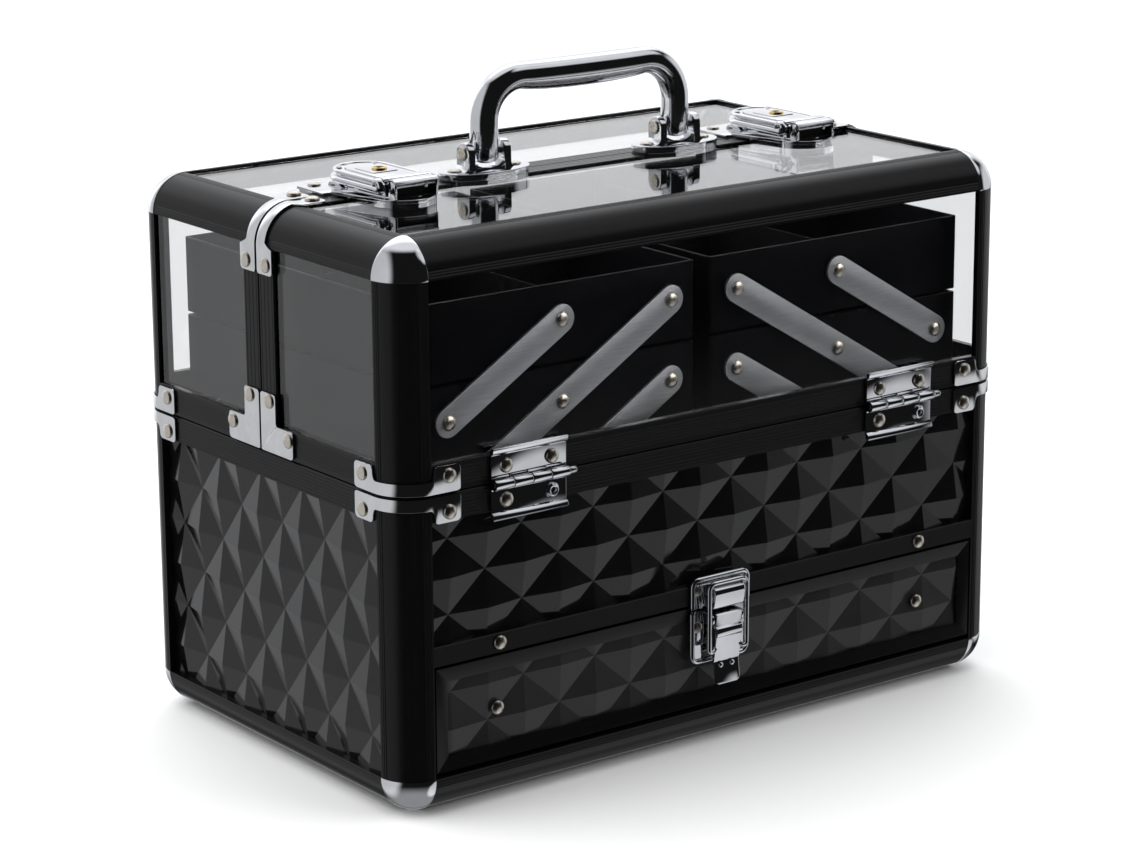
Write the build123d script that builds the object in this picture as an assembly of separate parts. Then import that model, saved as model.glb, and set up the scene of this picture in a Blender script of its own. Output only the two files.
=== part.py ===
from build123d import *
import os

# A makeup train case: X runs along the long face, the drawer faces -Y, and Z is up.
# The origin is the middle of the flat base, and every size is in millimetres.

# Case envelope
CASE_W = 340.0
CASE_D = 208.0
CASE_H = 249.0
SEAM_Z = 141.5            # where the lid halves meet the base
EDGE_R = 17.0             # outer radius of the quarter-round edge extrusions
EDGE_WALL = 4.0
GAP = 0.25                # half of the gap at each seam
HX = CASE_W / 2
HY = CASE_D / 2
CX = HX - EDGE_R          # centre lines of the quarter-round edges
CY = HY - EDGE_R
TOP_C = CASE_H - EDGE_R
BASE_TOP = SEAM_Z - GAP
LID_LOW = SEAM_Z + GAP

# Flat rails and panels
LID_RAIL_TOP = 154.5
BASE_RAIL_LOW = 129.5
LID_RAIL_T = 5.0
BASE_RAIL_T = 6.0
WINDOW_T = 3.0
WINDOW_INSET = 1.5        # how far the clear panels lie below the frame's faces
PANEL_T = 4.5
PANEL_INSET = 1.5
CENTRE_BAR_W = 12.0       # upright bars beside the lid seam on the end faces
TOP_BAR_W = 10.5          # bars beside the lid seam on the top
TOP_BAR_T = 4.5
FLOOR_T = 4.0
DECK_LOW = 67.0
DECK_T = 3.0
CROSS_RAIL_LOW = 66.5
CROSS_RAIL_TOP = 75.5

# Sheet-metal fittings
SHEET_T = 0.8
BRACKET_OUTSIDE = 5.0     # how far the bracket's cutting blocks reach past the case
BRACKET_REACH = 31.0      # corner seam bracket, from the case corner to its end
BRACKET_H = 11.6
BRACKET_BAND_H = 5.4      # its narrow band round the post
BRACKET_LIFT = 0.45       # from the seam edge of the rail
RIVET_R = 3.0
RIVET_H = 1.4
CORNER_RIVET = 25.1       # corner rivets, from the case corner
SEAM_RIVET = 7.8          # seam rivets, above and below the seam
CROSS_RAIL_RIVET_X = 119.3
CROSS_RAIL_RIVET_Z = 71.3
PLATE_IN = 0.8            # from the lid seam to the centre plates
PLATE_OUT = 12.4
PLATE_FOOT_OUT = 25.6
PLATE_LEG_TOP = 168.6
PLATE_LIFT = 0.6
STRAP_LOW = 220.6
STRAP_SHOULDER = 234.5    # the strap narrows above this height
STRAP_TONGUE = 29.0       # from the case's end to the strap's tip on the top
STRAP_WAIST_OUT = 6.4
CENTRE_RIVET_Y = 7.85
FOOT_RIVET_Y = 22.3
FOOT_RIVET_UP = 9.06      # above the lid seam
LEG_RIVET_UP = 23.8
STRAP_RIVET_Z = 224.8
STRAP_RIVET_X = 23.9      # from the case's end
STRAP_RIVET_Y = 7.3

# Lid hinges
HINGE_X = 104.3
HINGE_HALF_W = 19.5
HINGE_LEAF_IN = 2.7       # from the seam to the leaf's plate
HINGE_WEB_IN = 0.8        # from the seam to the web that carries each knuckle
HINGE_T = 1.0
HINGE_LEAF_OUT = 15.5     # from the seam to the leaf's outer edge
HINGE_LIP = 2.2
HINGE_AXIS_OUT = 2.5      # pin axis, outside the case's face
KNUCKLE_R = 2.2
PIN_R = 1.2
PIN_HOLE_R = 1.25
PIN_OVERHANG = 4.0
KNUCKLE_GAP = 0.15
HINGE_RIVET_X = 11.9
HINGE_RIVET_Z = 7.4

# Trays and their arms
TRAY_X = (4.0, 151.0)
TRAY_HALF_D = 90.0
TRAY_H = 34.2
TRAY_WALL = 1.6
PIVOT_X = (136.5, 77.5, 18.5)
PIVOT_Z = (132.0, 167.8, 203.6)
PIVOT_ABOVE_TRAY = 18.8
ARM_W = 13.0
ARM_T = 1.5
ARM_GAP = 0.4
STUD_R = 2.0
STUD_HOLE_R = 2.06
STUD_HEAD_R = 3.2
STUD_HEAD_T = 1.5

# Handle
HANDLE_X = 53.8
HANDLE_Y = -4.5
HANDLE_PIN_Z = 260.0
HANDLE_TOP = 298.2
HANDLE_R = 6.1
HANDLE_BEND_R = 18.0
GRIP_R = 6.9              # the bar swells a little for the hand
GRIP_FLAT = 24.0
HANDLE_PLATE_HALF_W = 22.5
HANDLE_PLATE_HALF_D = 12.4
HANDLE_PLATE_T = 3.5
HANDLE_OVER_SEAM = 0.35   # the plate clears the back lid half by this much
EAR_IN = 7.9
EAR_T = 3.6
EAR_R = 4.9
HANDLE_PIN_R = 1.8
HANDLE_HOLE_R = 1.86
HANDLE_PIN_OUT = 0.8
HANDLE_RIVET_X = 16.2

# Top latches
LATCH_X = 112.0
LATCH_PLATE_T = 2.2
LATCH_PLATE_R = 14.6
LATCH_PLATE_Y = -25.5     # centre of the plate's round front end
LATCH_PLATE_BACK = -0.6
LATCH_PLATE_BACK_HALF_W = 20.5
STRIKE_FRONT = 0.8
STRIKE_BACK = 25.0
STRIKE_HALF_W = 23.5
STRIKE_T = 1.2
STRIKE_RIVET_X = 16.3
STRIKE_RIVET_Y = 18.8
CATCH_HALF = 7.0
CATCH_Y = (4.0, 12.0)
COVER_R = 14.0
COVER_BACK_Y = 3.5        # centre of the cover's round back end
COVER_T = 2.0
COVER_WALL = 2.0
COVER_LOW = 252.6
COVER_TOP = 259.2
COVER_NOSE = 2.6          # the cover's side walls end this far ahead of the pin
COVER_PIN_Y = -26.0
COVER_PIN_Z = 256.0
LUG_X = (8.5, 10.0)
LUG_HALF = 2.6             # the lugs end in a round of this size about the pin
LUG_CLEAR = 4.0            # the cover's top starts this far behind the pin
LATCH_PIN_R = 1.0
LATCH_HOLE_R = 1.06
BAIL_R = 1.1
BAIL_HOLE_R = 1.16
CATCH_TOP = 252.4
KEY_R = 3.4
KEY_Y = -8.0
KEY_T = 1.2

# Drawer and its latch
DRAWER_HALF_W = 152.2
DRAWER_LOW = 19.2
DRAWER_TOP = 65.4
TRIM_W = 8.0
TRIM_FACE = -103.6
FACE_INSET = 0.6          # the diamond sheet lies this far behind the trim
FACE_BACK = -99.5
BOX_HALF_W = 149.0
BOX_LOW = 18.3
BOX_TOP = 60.0
BOX_BACK = 84.0
BOX_WALL = 2.0
RUNNER_IN = 150.0
SHELF_IN = 136.0
RUNNER_LOW = 12.0
RUNNER_TOP = 40.0
RUNNER_HALF_L = 86.0
DRAWER_PLATE_HALF_W = 16.5
DRAWER_PLATE_T = 1.4
STRIKE_Z = (64.9, 79.3)
DRAWER_PLATE_Z = (39.3, 63.9)
CATCH_HALF_W = 8.5
CATCH_OUT = -112.5
CATCH_Z = (66.0, 76.0)
STRIKE_RIVET_Z = 75.2
PLATE_RIVET_X = 13.3
PLATE_RIVET_Z = 58.5
FACE_RIVET_X = 120.0
FACE_RIVET_Z = 41.9
LEVER_LUG_X = (7.6, 8.9)
LEVER_LUG_HALF = 2.5
LEVER_HALF_W = 7.3
LEVER_YS = (-112.5, -107.8)
LEVER_Z = (40.0, 62.8)
LEVER_TAB_YS = (-111.0, -109.6)
LEVER_TAB_LOW = 29.6
LEVER_PIN_Y = -109.5
LEVER_PIN_Z = 60.0
DRAWER_BAIL_Y = LEVER_PIN_Y - 0.8
DRAWER_BAIL_X = 10.6
DRAWER_BAIL_Z = 48.0
DRAWER_BAIL_TOP = 77.5

nodes = {}


def node(name, *solids):
    """Keep the solids of one sub-part under its name."""
    nodes.setdefault(name, []).extend(solids)


def span(sign, a, b):
    """The two ends of a range that is mirrored by sign, lowest first."""
    return tuple(sorted((sign * a, sign * b)))


def block(xs, ys, zs):
    (x0, x1), (y0, y1), (z0, z1) = xs, ys, zs
    middle = Pos((x0 + x1) / 2, (y0 + y1) / 2, (z0 + z1) / 2)
    return middle * Box(x1 - x0, y1 - y0, z1 - z0)


def rod_x(xs, y, z, r):
    return Pos(sum(xs) / 2, y, z) * Rot(0, 90, 0) * Cylinder(r, xs[1] - xs[0])


def rod_y(x, ys, z, r):
    return Pos(x, sum(ys) / 2, z) * Rot(90, 0, 0) * Cylinder(r, ys[1] - ys[0])


def rod_z(x, y, zs, r):
    return Pos(x, y, sum(zs) / 2) * Cylinder(r, zs[1] - zs[0])


def edge_x(xs, sy, zc, up):
    """A quarter-round extrusion along X, on the sy side, at the top or the bottom."""
    tube = rod_x(xs, sy * CY, zc, EDGE_R) - rod_x(xs, sy * CY, zc, EDGE_R - EDGE_WALL)
    return tube & block(xs, span(sy, CY, HY), tuple(sorted((zc, zc + up * EDGE_R))))


def edge_y(sx, ys, zc, up):
    """A quarter-round extrusion along Y, on the sx side, at the top or the bottom."""
    tube = rod_y(sx * CX, ys, zc, EDGE_R) - rod_y(sx * CX, ys, zc, EDGE_R - EDGE_WALL)
    return tube & block(span(sx, CX, HX), ys, tuple(sorted((zc, zc + up * EDGE_R))))


def edge_z(sx, sy, zs):
    """A quarter-round corner post."""
    tube = rod_z(sx * CX, sy * CY, zs, EDGE_R) - rod_z(sx * CX, sy * CY, zs, EDGE_R - EDGE_WALL)
    return tube & block(span(sx, CX, HX), span(sy, CY, HY), zs)


def corner_cap(sx, sy, zc, up):
    """An eighth of a hollow ball, which caps three edges."""
    ball = Pos(sx * CX, sy * CY, zc) * (Sphere(EDGE_R) - Sphere(EDGE_R - EDGE_WALL))
    corner = block(span(sx, CX, HX), span(sy, CY, HY), tuple(sorted((zc, zc + up * EDGE_R))))
    return ball & corner


def shell_z(zs):
    """A sheet that lies on the case's four upright faces, round the corners too."""
    outer = Pos(0, 0, zs[0]) * extrude(
        RectangleRounded(CASE_W + 2 * SHEET_T, CASE_D + 2 * SHEET_T, EDGE_R + SHEET_T),
        zs[1] - zs[0],
    )
    inner = Pos(0, 0, zs[0]) * extrude(RectangleRounded(CASE_W, CASE_D, EDGE_R), zs[1] - zs[0])
    return outer - inner


def seam_bracket(sx, sy, up):
    """A dumbbell-shaped strap round a corner post, beside the seam: two flags and a band."""
    edge = SEAM_Z + up * (GAP + BRACKET_LIFT)
    zs = tuple(sorted((edge, edge + up * BRACKET_H)))
    reach = BRACKET_REACH
    outside = BRACKET_OUTSIDE
    corner = block(
        span(sx, HX - reach, HX + outside), span(sy, HY - reach, HY + outside), zs
    )
    notch_zs = tuple(sorted((edge + up * BRACKET_BAND_H, edge + up * (BRACKET_H + 1))))
    notch = block(span(sx, CX, HX + outside), span(sy, CY, HY + outside), notch_zs)
    return (shell_z(zs) & corner) - notch


def rivet(x, y, z, direction):
    """A domed rivet head that sits at x, y, z and points along one axis."""
    turn = {"+x": Rot(0, 90, 0), "-x": Rot(0, -90, 0), "+y": Rot(-90, 0, 0), "-y": Rot(90, 0, 0),
            "+z": Rot(0, 0, 0)}[direction]
    head = Pos(0, 0, RIVET_H / 2) * Cone(RIVET_R, RIVET_R * 0.55, RIVET_H)
    return Pos(x, y, z) * turn * head


def facing(axis, sign):
    return ("+" if sign > 0 else "-") + axis


def hinge_leaf(sx, sy, up):
    """One hinge leaf: a plate with a bent lip, and its two knuckles round the pin."""
    axis_y = sy * (HY + HINGE_AXIS_OUT)
    x0 = sx * HINGE_X - HINGE_HALF_W
    x1 = sx * HINGE_X + HINGE_HALF_W
    near = HINGE_LEAF_IN
    far = HINGE_LEAF_OUT
    plate_ys = span(sy, HY, HY + HINGE_T)
    leaf = block((x0, x1), plate_ys, tuple(sorted((SEAM_Z + up * near, SEAM_Z + up * far))))
    lip_zs = tuple(sorted((SEAM_Z + up * (far - HINGE_T), SEAM_Z + up * far)))
    leaf += block((x0, x1), span(sy, HY, HY + HINGE_LIP), lip_zs)
    pitch = 2 * HINGE_HALF_W / 4
    for i in (0, 2) if up < 0 else (1, 3):
        xs = (x0 + i * pitch + KNUCKLE_GAP, x0 + (i + 1) * pitch - KNUCKLE_GAP)
        leaf += rod_x(xs, axis_y, SEAM_Z, KNUCKLE_R)
        leaf += block(xs, plate_ys, tuple(sorted((SEAM_Z + up * HINGE_WEB_IN,
                                                SEAM_Z + up * near))))
    return leaf - rod_x((x0 - 1, x1 + 1), axis_y, SEAM_Z, PIN_HOLE_R)


def hinge_pin(sx, sy):
    x0 = sx * HINGE_X - HINGE_HALF_W
    x1 = sx * HINGE_X + HINGE_HALF_W + PIN_OVERHANG
    pin = rod_x((x0, x1), sy * (HY + HINGE_AXIS_OUT), SEAM_Z, PIN_R)
    head_xs = (x1 - PIN_OVERHANG + KNUCKLE_GAP, x1)
    return pin + rod_x(head_xs, sy * (HY + HINGE_AXIS_OUT), SEAM_Z, KNUCKLE_R)


def centre_corner(sx, sy):
    """The flat L-shaped corner plate at the foot of a centre bar, on an end face."""
    xs = span(sx, HX, HX + SHEET_T)
    low = LID_LOW + PLATE_LIFT
    foot = block(xs, span(sy, PLATE_IN, PLATE_FOOT_OUT), (low, LID_RAIL_TOP + 0.4))
    leg = block(xs, span(sy, PLATE_IN, PLATE_OUT), (low, PLATE_LEG_TOP))
    return foot + leg


def centre_strap(sx, sy):
    """The strap from a centre bar over the top edge: wide ends and a narrow middle."""
    ys = span(sy, PLATE_IN, PLATE_OUT)
    past = BRACKET_OUTSIDE
    ring = rod_y(sx * CX, ys, TOP_C, EDGE_R + SHEET_T) - rod_y(sx * CX, ys, TOP_C, EDGE_R)
    ring = ring & block(span(sx, CX, HX + past), ys, (TOP_C, CASE_H + past))
    strap = ring + block(span(sx, HX, HX + SHEET_T), ys, (STRAP_LOW, TOP_C))
    strap += block(span(sx, HX - STRAP_TONGUE, CX), ys, (CASE_H, CASE_H + SHEET_T))
    waist = block(span(sx, CX, HX + past), span(sy, STRAP_WAIST_OUT, PLATE_OUT + 1),
                  (STRAP_SHOULDER, CASE_H + past))
    return strap - waist


def make_base():
    for sx in (-1, 1):
        node("base_end_panels", block(span(sx, HX - PANEL_INSET - PANEL_T, HX - PANEL_INSET), (-CY, CY),
                                      (EDGE_R, BASE_RAIL_LOW)))
        node("base_top_rails", block(span(sx, HX - BASE_RAIL_T, HX), (-CY, CY),
                                     (BASE_RAIL_LOW, BASE_TOP)))
        node("base_frame", edge_y(sx, (-CY, CY), EDGE_R, -1))
        side = block(span(sx, RUNNER_IN, HX - PANEL_INSET - PANEL_T), (-RUNNER_HALF_L, RUNNER_HALF_L),
                     (RUNNER_LOW, RUNNER_TOP))
        shelf = block(span(sx, SHELF_IN, RUNNER_IN), (-RUNNER_HALF_L, RUNNER_HALF_L),
                      (RUNNER_LOW, BOX_LOW - 0.3))
        node("drawer_runners", side + shelf)
        for sy in (-1, 1):
            node("base_frame", edge_z(sx, sy, (EDGE_R, BASE_TOP)))
            node("base_corner_caps", corner_cap(sx, sy, EDGE_R, -1))
            node("base_seam_brackets", seam_bracket(sx, sy, -1))
            node("lower_hinge_leaves", hinge_leaf(sx, sy, -1))
            node("hinge_pins", hinge_pin(sx, sy))
            base_rivets(sx, sy)
    for sy in (-1, 1):
        node("base_frame", edge_x((-CX, CX), sy, EDGE_R, -1))
        node("base_top_rails", block((-CX, CX), span(sy, HY - BASE_RAIL_T, HY),
                                     (BASE_RAIL_LOW, BASE_TOP)))
    panel_in = HY - PANEL_INSET - PANEL_T
    node("base_back_panel", block((-CX, CX), (panel_in, HY - PANEL_INSET), (EDGE_R, BASE_RAIL_LOW)))
    node("base_front_panel", block((-CX, CX), (-HY + PANEL_INSET, -panel_in),
                                   (CROSS_RAIL_TOP, BASE_RAIL_LOW)))
    node("base_floor", block((-CX, CX), (-CY, CY), (0, FLOOR_T)))
    deck_zs = (DECK_LOW, DECK_LOW + DECK_T)
    inner_x = HX - PANEL_INSET - PANEL_T
    node("drawer_deck", block((-inner_x, inner_x), (-CY, CY), deck_zs)
         + block((-CX, CX), (-panel_in, panel_in), deck_zs))
    node("drawer_cross_rail", block((-CX, CX), (-HY, -panel_in),
                                    (CROSS_RAIL_LOW, CROSS_RAIL_TOP)))
    for x in (-CROSS_RAIL_RIVET_X, CROSS_RAIL_RIVET_X):
        node("base_rivets", rivet(x, -HY, CROSS_RAIL_RIVET_Z, "-y"))


def base_rivets(sx, sy):
    low = SEAM_Z - SEAM_RIVET
    node("base_rivets",
         rivet(sx * (HX - CORNER_RIVET), sy * (HY + SHEET_T), low, facing("y", sy)),
         rivet(sx * (HX + SHEET_T), sy * (HY - CORNER_RIVET), low, facing("x", sx)))
    for dx in (-HINGE_RIVET_X, HINGE_RIVET_X):
        node("base_rivets", rivet(sx * HINGE_X + dx, sy * (HY + HINGE_T),
                                  SEAM_Z - HINGE_RIVET_Z, facing("y", sy)))


def make_lid(name, sy):
    """One half of the lid. sy is -1 for the front half and 1 for the back half."""
    windows, frame, bars = name + "_windows", name + "_frame", name + "_seam_bars"
    rivets = name + "_rivets"
    face_in = HY - WINDOW_INSET - WINDOW_T
    node(frame, edge_x((-CX, CX), sy, TOP_C, 1),
         block((-CX, CX), span(sy, HY - LID_RAIL_T, HY), (LID_LOW, LID_RAIL_TOP)))
    node(windows, block((-CX, CX), span(sy, face_in, HY - WINDOW_INSET),
                        (LID_RAIL_TOP, TOP_C)))
    node(windows, block((-CX, CX), span(sy, TOP_BAR_W, CY),
                        (CASE_H - WINDOW_INSET - WINDOW_T, CASE_H - WINDOW_INSET)))
    node(bars, block((-CX, CX), span(sy, GAP, TOP_BAR_W), (CASE_H - TOP_BAR_T, CASE_H)))
    for sx in (-1, 1):
        node(frame, edge_z(sx, sy, (LID_LOW, TOP_C)),
             edge_y(sx, span(sy, GAP, CY), TOP_C, 1),
             block(span(sx, HX - LID_RAIL_T, HX), span(sy, GAP, CY), (LID_LOW, LID_RAIL_TOP)))
        end_in = HX - WINDOW_INSET - WINDOW_T
        node(windows, block(span(sx, end_in, HX - WINDOW_INSET), span(sy, CENTRE_BAR_W, CY),
                            (LID_RAIL_TOP, TOP_C)))
        node(bars, block(span(sx, end_in, HX), span(sy, GAP, CENTRE_BAR_W),
                         (LID_RAIL_TOP, TOP_C)))
        node(name + "_corner_caps", corner_cap(sx, sy, TOP_C, 1))
        node(name + "_seam_brackets", seam_bracket(sx, sy, 1))
        node(name + "_centre_brackets", centre_corner(sx, sy), centre_strap(sx, sy))
        node(name + "_hinge_leaves", hinge_leaf(sx, sy, 1))
        out_x, out_y = facing("x", sx), facing("y", sy)
        face_x = sx * (HX + SHEET_T)
        up = SEAM_Z + SEAM_RIVET
        node(rivets,
             rivet(sx * (HX - CORNER_RIVET), sy * (HY + SHEET_T), up, out_y),
             rivet(face_x, sy * (HY - CORNER_RIVET), up, out_x),
             rivet(face_x, sy * CENTRE_RIVET_Y, SEAM_Z + LEG_RIVET_UP, out_x),
             rivet(face_x, sy * FOOT_RIVET_Y, SEAM_Z + FOOT_RIVET_UP, out_x),
             rivet(face_x, sy * CENTRE_RIVET_Y, STRAP_RIVET_Z, out_x),
             rivet(sx * (HX - STRAP_RIVET_X), sy * STRAP_RIVET_Y, CASE_H + SHEET_T, "+z"))
        for dx in (-HINGE_RIVET_X, HINGE_RIVET_X):
            node(rivets, rivet(sx * HINGE_X + dx, sy * (HY + HINGE_T),
                               SEAM_Z + HINGE_RIVET_Z, out_y))


def make_top_latch(sx, side):
    """A hasp over the lid seam: plate and lugs in front, catch behind, cover and key barrel."""
    x = sx * LATCH_X
    place = Pos(x, 0, 0)
    plate_zs = (CASE_H - WINDOW_INSET, CASE_H + LATCH_PLATE_T)
    back, wide, narrow = LATCH_PLATE_BACK, LATCH_PLATE_BACK_HALF_W, LATCH_PLATE_R
    taper = Polyline((-wide, back), (wide, back), (narrow, LATCH_PLATE_Y),
                     (-narrow, LATCH_PLATE_Y), (-wide, back))
    plate = Pos(0, 0, plate_zs[0]) * extrude(make_face(taper), plate_zs[1] - plate_zs[0])
    plate += rod_z(0, LATCH_PLATE_Y, plate_zs, LATCH_PLATE_R)
    plate -= block((-2 * wide, 2 * wide), (-TOP_BAR_W, 1), (plate_zs[0] - 1, CASE_H))
    for s in (-1, 1):
        plate += block(span(s, *LUG_X), (COVER_PIN_Y - LUG_HALF, COVER_PIN_Y + LUG_HALF),
                       (plate_zs[1], COVER_PIN_Z))
        plate += rod_x(span(s, *LUG_X), COVER_PIN_Y, COVER_PIN_Z, LUG_HALF)
    plate += rod_x((-COVER_R, COVER_R), COVER_PIN_Y, COVER_PIN_Z, LATCH_PIN_R)
    node("top_latch_plates", place * plate)

    strike_zs = (CASE_H, CASE_H + STRIKE_T)
    strike_xs = (-STRIKE_HALF_W, STRIKE_HALF_W)
    strike = block(strike_xs, (STRIKE_FRONT, STRIKE_BACK), strike_zs)
    strike += block(strike_xs, (TOP_BAR_W, STRIKE_BACK), (CASE_H - WINDOW_INSET, CASE_H))
    strike += block((-CATCH_HALF, CATCH_HALF), CATCH_Y, (strike_zs[1], CATCH_TOP))
    node("top_latch_strikes", place * strike)
    for s in (-1, 1):
        node("back_lid_rivets", rivet(x + s * STRIKE_RIVET_X, STRIKE_RIVET_Y, strike_zs[1], "+z"))

    cover_zs = (COVER_TOP - COVER_T, COVER_TOP)
    cover = block((-COVER_R, COVER_R), (COVER_PIN_Y + LUG_CLEAR, COVER_BACK_Y), cover_zs)
    cover += rod_z(0, COVER_BACK_Y, cover_zs, COVER_R)
    for s in (-1, 1):
        cover += block(span(s, COVER_R - COVER_WALL, COVER_R),
                       (COVER_PIN_Y - COVER_NOSE, COVER_BACK_Y), (COVER_LOW, COVER_TOP - 0.2))
    cover -= rod_x((-COVER_R - 1, COVER_R + 1), COVER_PIN_Y, COVER_PIN_Z, LATCH_HOLE_R)
    node(side + "_latch_cover", place * cover)
    node(side + "_latch_key", rod_z(x, KEY_Y, (COVER_TOP, COVER_TOP + KEY_T), KEY_R))


def make_handle():
    for sx in (-1, 1):
        x = sx * HANDLE_X
        zs = (CASE_H - WINDOW_INSET, CASE_H + HANDLE_PLATE_T)
        oval = Ellipse(HANDLE_PLATE_HALF_W, HANDLE_PLATE_HALF_D)
        plate = Pos(x, HANDLE_Y, zs[0]) * extrude(oval, zs[1] - zs[0])
        past = HANDLE_PLATE_HALF_W + 1
        plate -= block((x - past, x + past), (-TOP_BAR_W, past), (zs[0] - 1, CASE_H))
        plate -= block((x - past, x + past), (-GAP, past), (zs[0], CASE_H + HANDLE_OVER_SEAM))
        for s in (-1, 1):
            ear_xs = tuple(sorted((x + s * EAR_IN, x + s * (EAR_IN + EAR_T))))
            plate += block(ear_xs, (HANDLE_Y - EAR_R, HANDLE_Y + EAR_R), (zs[1], HANDLE_PIN_Z))
            plate += rod_x(ear_xs, HANDLE_Y, HANDLE_PIN_Z, EAR_R)
            node("front_lid_rivets", rivet(x + s * HANDLE_RIVET_X, HANDLE_Y, zs[1], "+z"))
        reach = EAR_IN + EAR_T
        plate -= rod_x((x - reach - 1, x + reach + 1), HANDLE_Y, HANDLE_PIN_Z, HANDLE_PIN_R)
        node("handle_brackets", plate)
        tip = reach + HANDLE_PIN_OUT
        pin = rod_x((x - tip, x + tip), HANDLE_Y, HANDLE_PIN_Z, HANDLE_PIN_R)
        node("handle_pins", pin)

    bend = HANDLE_BEND_R
    bar_half = HANDLE_X - bend
    bar_z = HANDLE_TOP - GRIP_R
    handle = rod_x((-GRIP_FLAT, GRIP_FLAT), HANDLE_Y, bar_z, GRIP_R)
    taper = bar_half - GRIP_FLAT
    for sx in (-1, 1):
        x = sx * HANDLE_X
        cone = Rot(0, sx * 90, 0) * Cone(GRIP_R, HANDLE_R, taper)
        handle += Pos(sx * (GRIP_FLAT + taper / 2), HANDLE_Y, bar_z) * cone
        ring = Rot(90, 0, 0) * Torus(bend, HANDLE_R)
        quarter = block(span(sx, 0, 40), (-20, 20), (0, 40))
        handle += Pos(sx * bar_half, HANDLE_Y, bar_z - bend) * (ring & quarter)
        handle += rod_z(x, HANDLE_Y, (HANDLE_PIN_Z, bar_z - bend), HANDLE_R)
        handle += Pos(x, HANDLE_Y, HANDLE_PIN_Z) * Sphere(HANDLE_R)
        handle -= rod_x((x - 8, x + 8), HANDLE_Y, HANDLE_PIN_Z, HANDLE_HOLE_R)
    node("handle", handle)


def make_drawer():
    inside = (-DRAWER_HALF_W + TRIM_W, DRAWER_HALF_W - TRIM_W)
    inside_zs = (DRAWER_LOW + TRIM_W, DRAWER_TOP - TRIM_W)
    slab = block((-DRAWER_HALF_W, DRAWER_HALF_W), (TRIM_FACE, FACE_BACK), (DRAWER_LOW, DRAWER_TOP))
    node("drawer_trim", slab - block(inside, (TRIM_FACE - 1, FACE_BACK + 1), inside_zs))
    panel_face = TRIM_FACE + FACE_INSET
    node("drawer_front_panel", block(inside, (panel_face, FACE_BACK), inside_zs))
    tub = block((-BOX_HALF_W, BOX_HALF_W), (FACE_BACK, BOX_BACK), (BOX_LOW, BOX_TOP))
    tub -= block((-BOX_HALF_W + BOX_WALL, BOX_HALF_W - BOX_WALL),
                 (FACE_BACK + BOX_WALL, BOX_BACK - BOX_WALL), (BOX_LOW + BOX_WALL, BOX_TOP + 1))
    node("drawer_box", tub)

    half = DRAWER_PLATE_HALF_W
    face = -HY - DRAWER_PLATE_T
    strike = block((-half, half), (face, -HY), STRIKE_Z)
    strike += block((-CATCH_HALF_W, CATCH_HALF_W), (CATCH_OUT, face), CATCH_Z)
    node("drawer_strike", strike)
    lug_ys = (LEVER_PIN_Y - 2.2, TRIM_FACE - DRAWER_PLATE_T)
    plate = block((-half, half), (TRIM_FACE - DRAWER_PLATE_T, TRIM_FACE), DRAWER_PLATE_Z)
    for s in (-1, 1):
        plate += block(span(s, *LEVER_LUG_X), lug_ys,
                       (LEVER_PIN_Z - LEVER_LUG_HALF, LEVER_PIN_Z + LEVER_LUG_HALF))
    plate += rod_x((-LEVER_LUG_X[1], LEVER_LUG_X[1]), LEVER_PIN_Y, LEVER_PIN_Z, LATCH_PIN_R)
    node("drawer_latch_plate", plate)
    for s in (-1, 1):
        node("base_rivets", rivet(s * PLATE_RIVET_X, face, STRIKE_RIVET_Z, "-y"))
        node("drawer_rivets",
             rivet(s * PLATE_RIVET_X, TRIM_FACE - DRAWER_PLATE_T, PLATE_RIVET_Z, "-y"),
             rivet(s * FACE_RIVET_X, panel_face, FACE_RIVET_Z, "-y"))

    lever_xs = (-LEVER_HALF_W, LEVER_HALF_W)
    lever = block(lever_xs, LEVER_YS, LEVER_Z)
    lever += block(lever_xs, LEVER_TAB_YS, (LEVER_TAB_LOW, LEVER_Z[0]))
    bore_xs = (-LEVER_HALF_W - 1, LEVER_HALF_W + 1)
    lever -= rod_x(bore_xs, LEVER_PIN_Y, LEVER_PIN_Z, LATCH_HOLE_R)
    lever -= rod_x(bore_xs, DRAWER_BAIL_Y, DRAWER_BAIL_Z, BAIL_HOLE_R)
    node("drawer_latch_lever", lever)

    y = DRAWER_BAIL_Y
    bail = rod_x((-DRAWER_BAIL_X, DRAWER_BAIL_X), y, DRAWER_BAIL_TOP, BAIL_R)
    for s in (-1, 1):
        x = s * DRAWER_BAIL_X
        bail += rod_z(x, y, (DRAWER_BAIL_Z, DRAWER_BAIL_TOP), BAIL_R)
        bail += rod_x(span(s, LEVER_HALF_W - 2.5, DRAWER_BAIL_X), y, DRAWER_BAIL_Z, BAIL_R)
        for z in (DRAWER_BAIL_Z, DRAWER_BAIL_TOP):
            bail += Pos(x, y, z) * Sphere(BAIL_R)
    node("drawer_latch_bail", bail)


def arm(sx, sy, stations):
    """A flat arm through two or three pivots. Each station indexes PIVOT_X and PIVOT_Z."""
    ys = span(sy, TRAY_HALF_D + ARM_GAP, TRAY_HALF_D + ARM_GAP + ARM_T)
    points = [(sx * PIVOT_X[i], PIVOT_Z[k]) for i, k in stations]
    (x0, z0), (x1, z1) = points[0], points[-1]
    run = Vector(x1 - x0, 0, z1 - z0)
    length = run.length
    plane = Plane(origin=(x0, ys[0], z0), x_dir=run.normalized(), z_dir=(0, 1, 0))
    strip = Pos(length / 2, 0, 0) * SlotCenterToCenter(length, ARM_W)
    solid = extrude(plane * strip, amount=ARM_T, dir=(0, 1, 0))
    for x, z in points:
        solid -= rod_y(x, (ys[0] - 1, ys[1] + 1), z, STUD_HOLE_R)
    return solid


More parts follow.
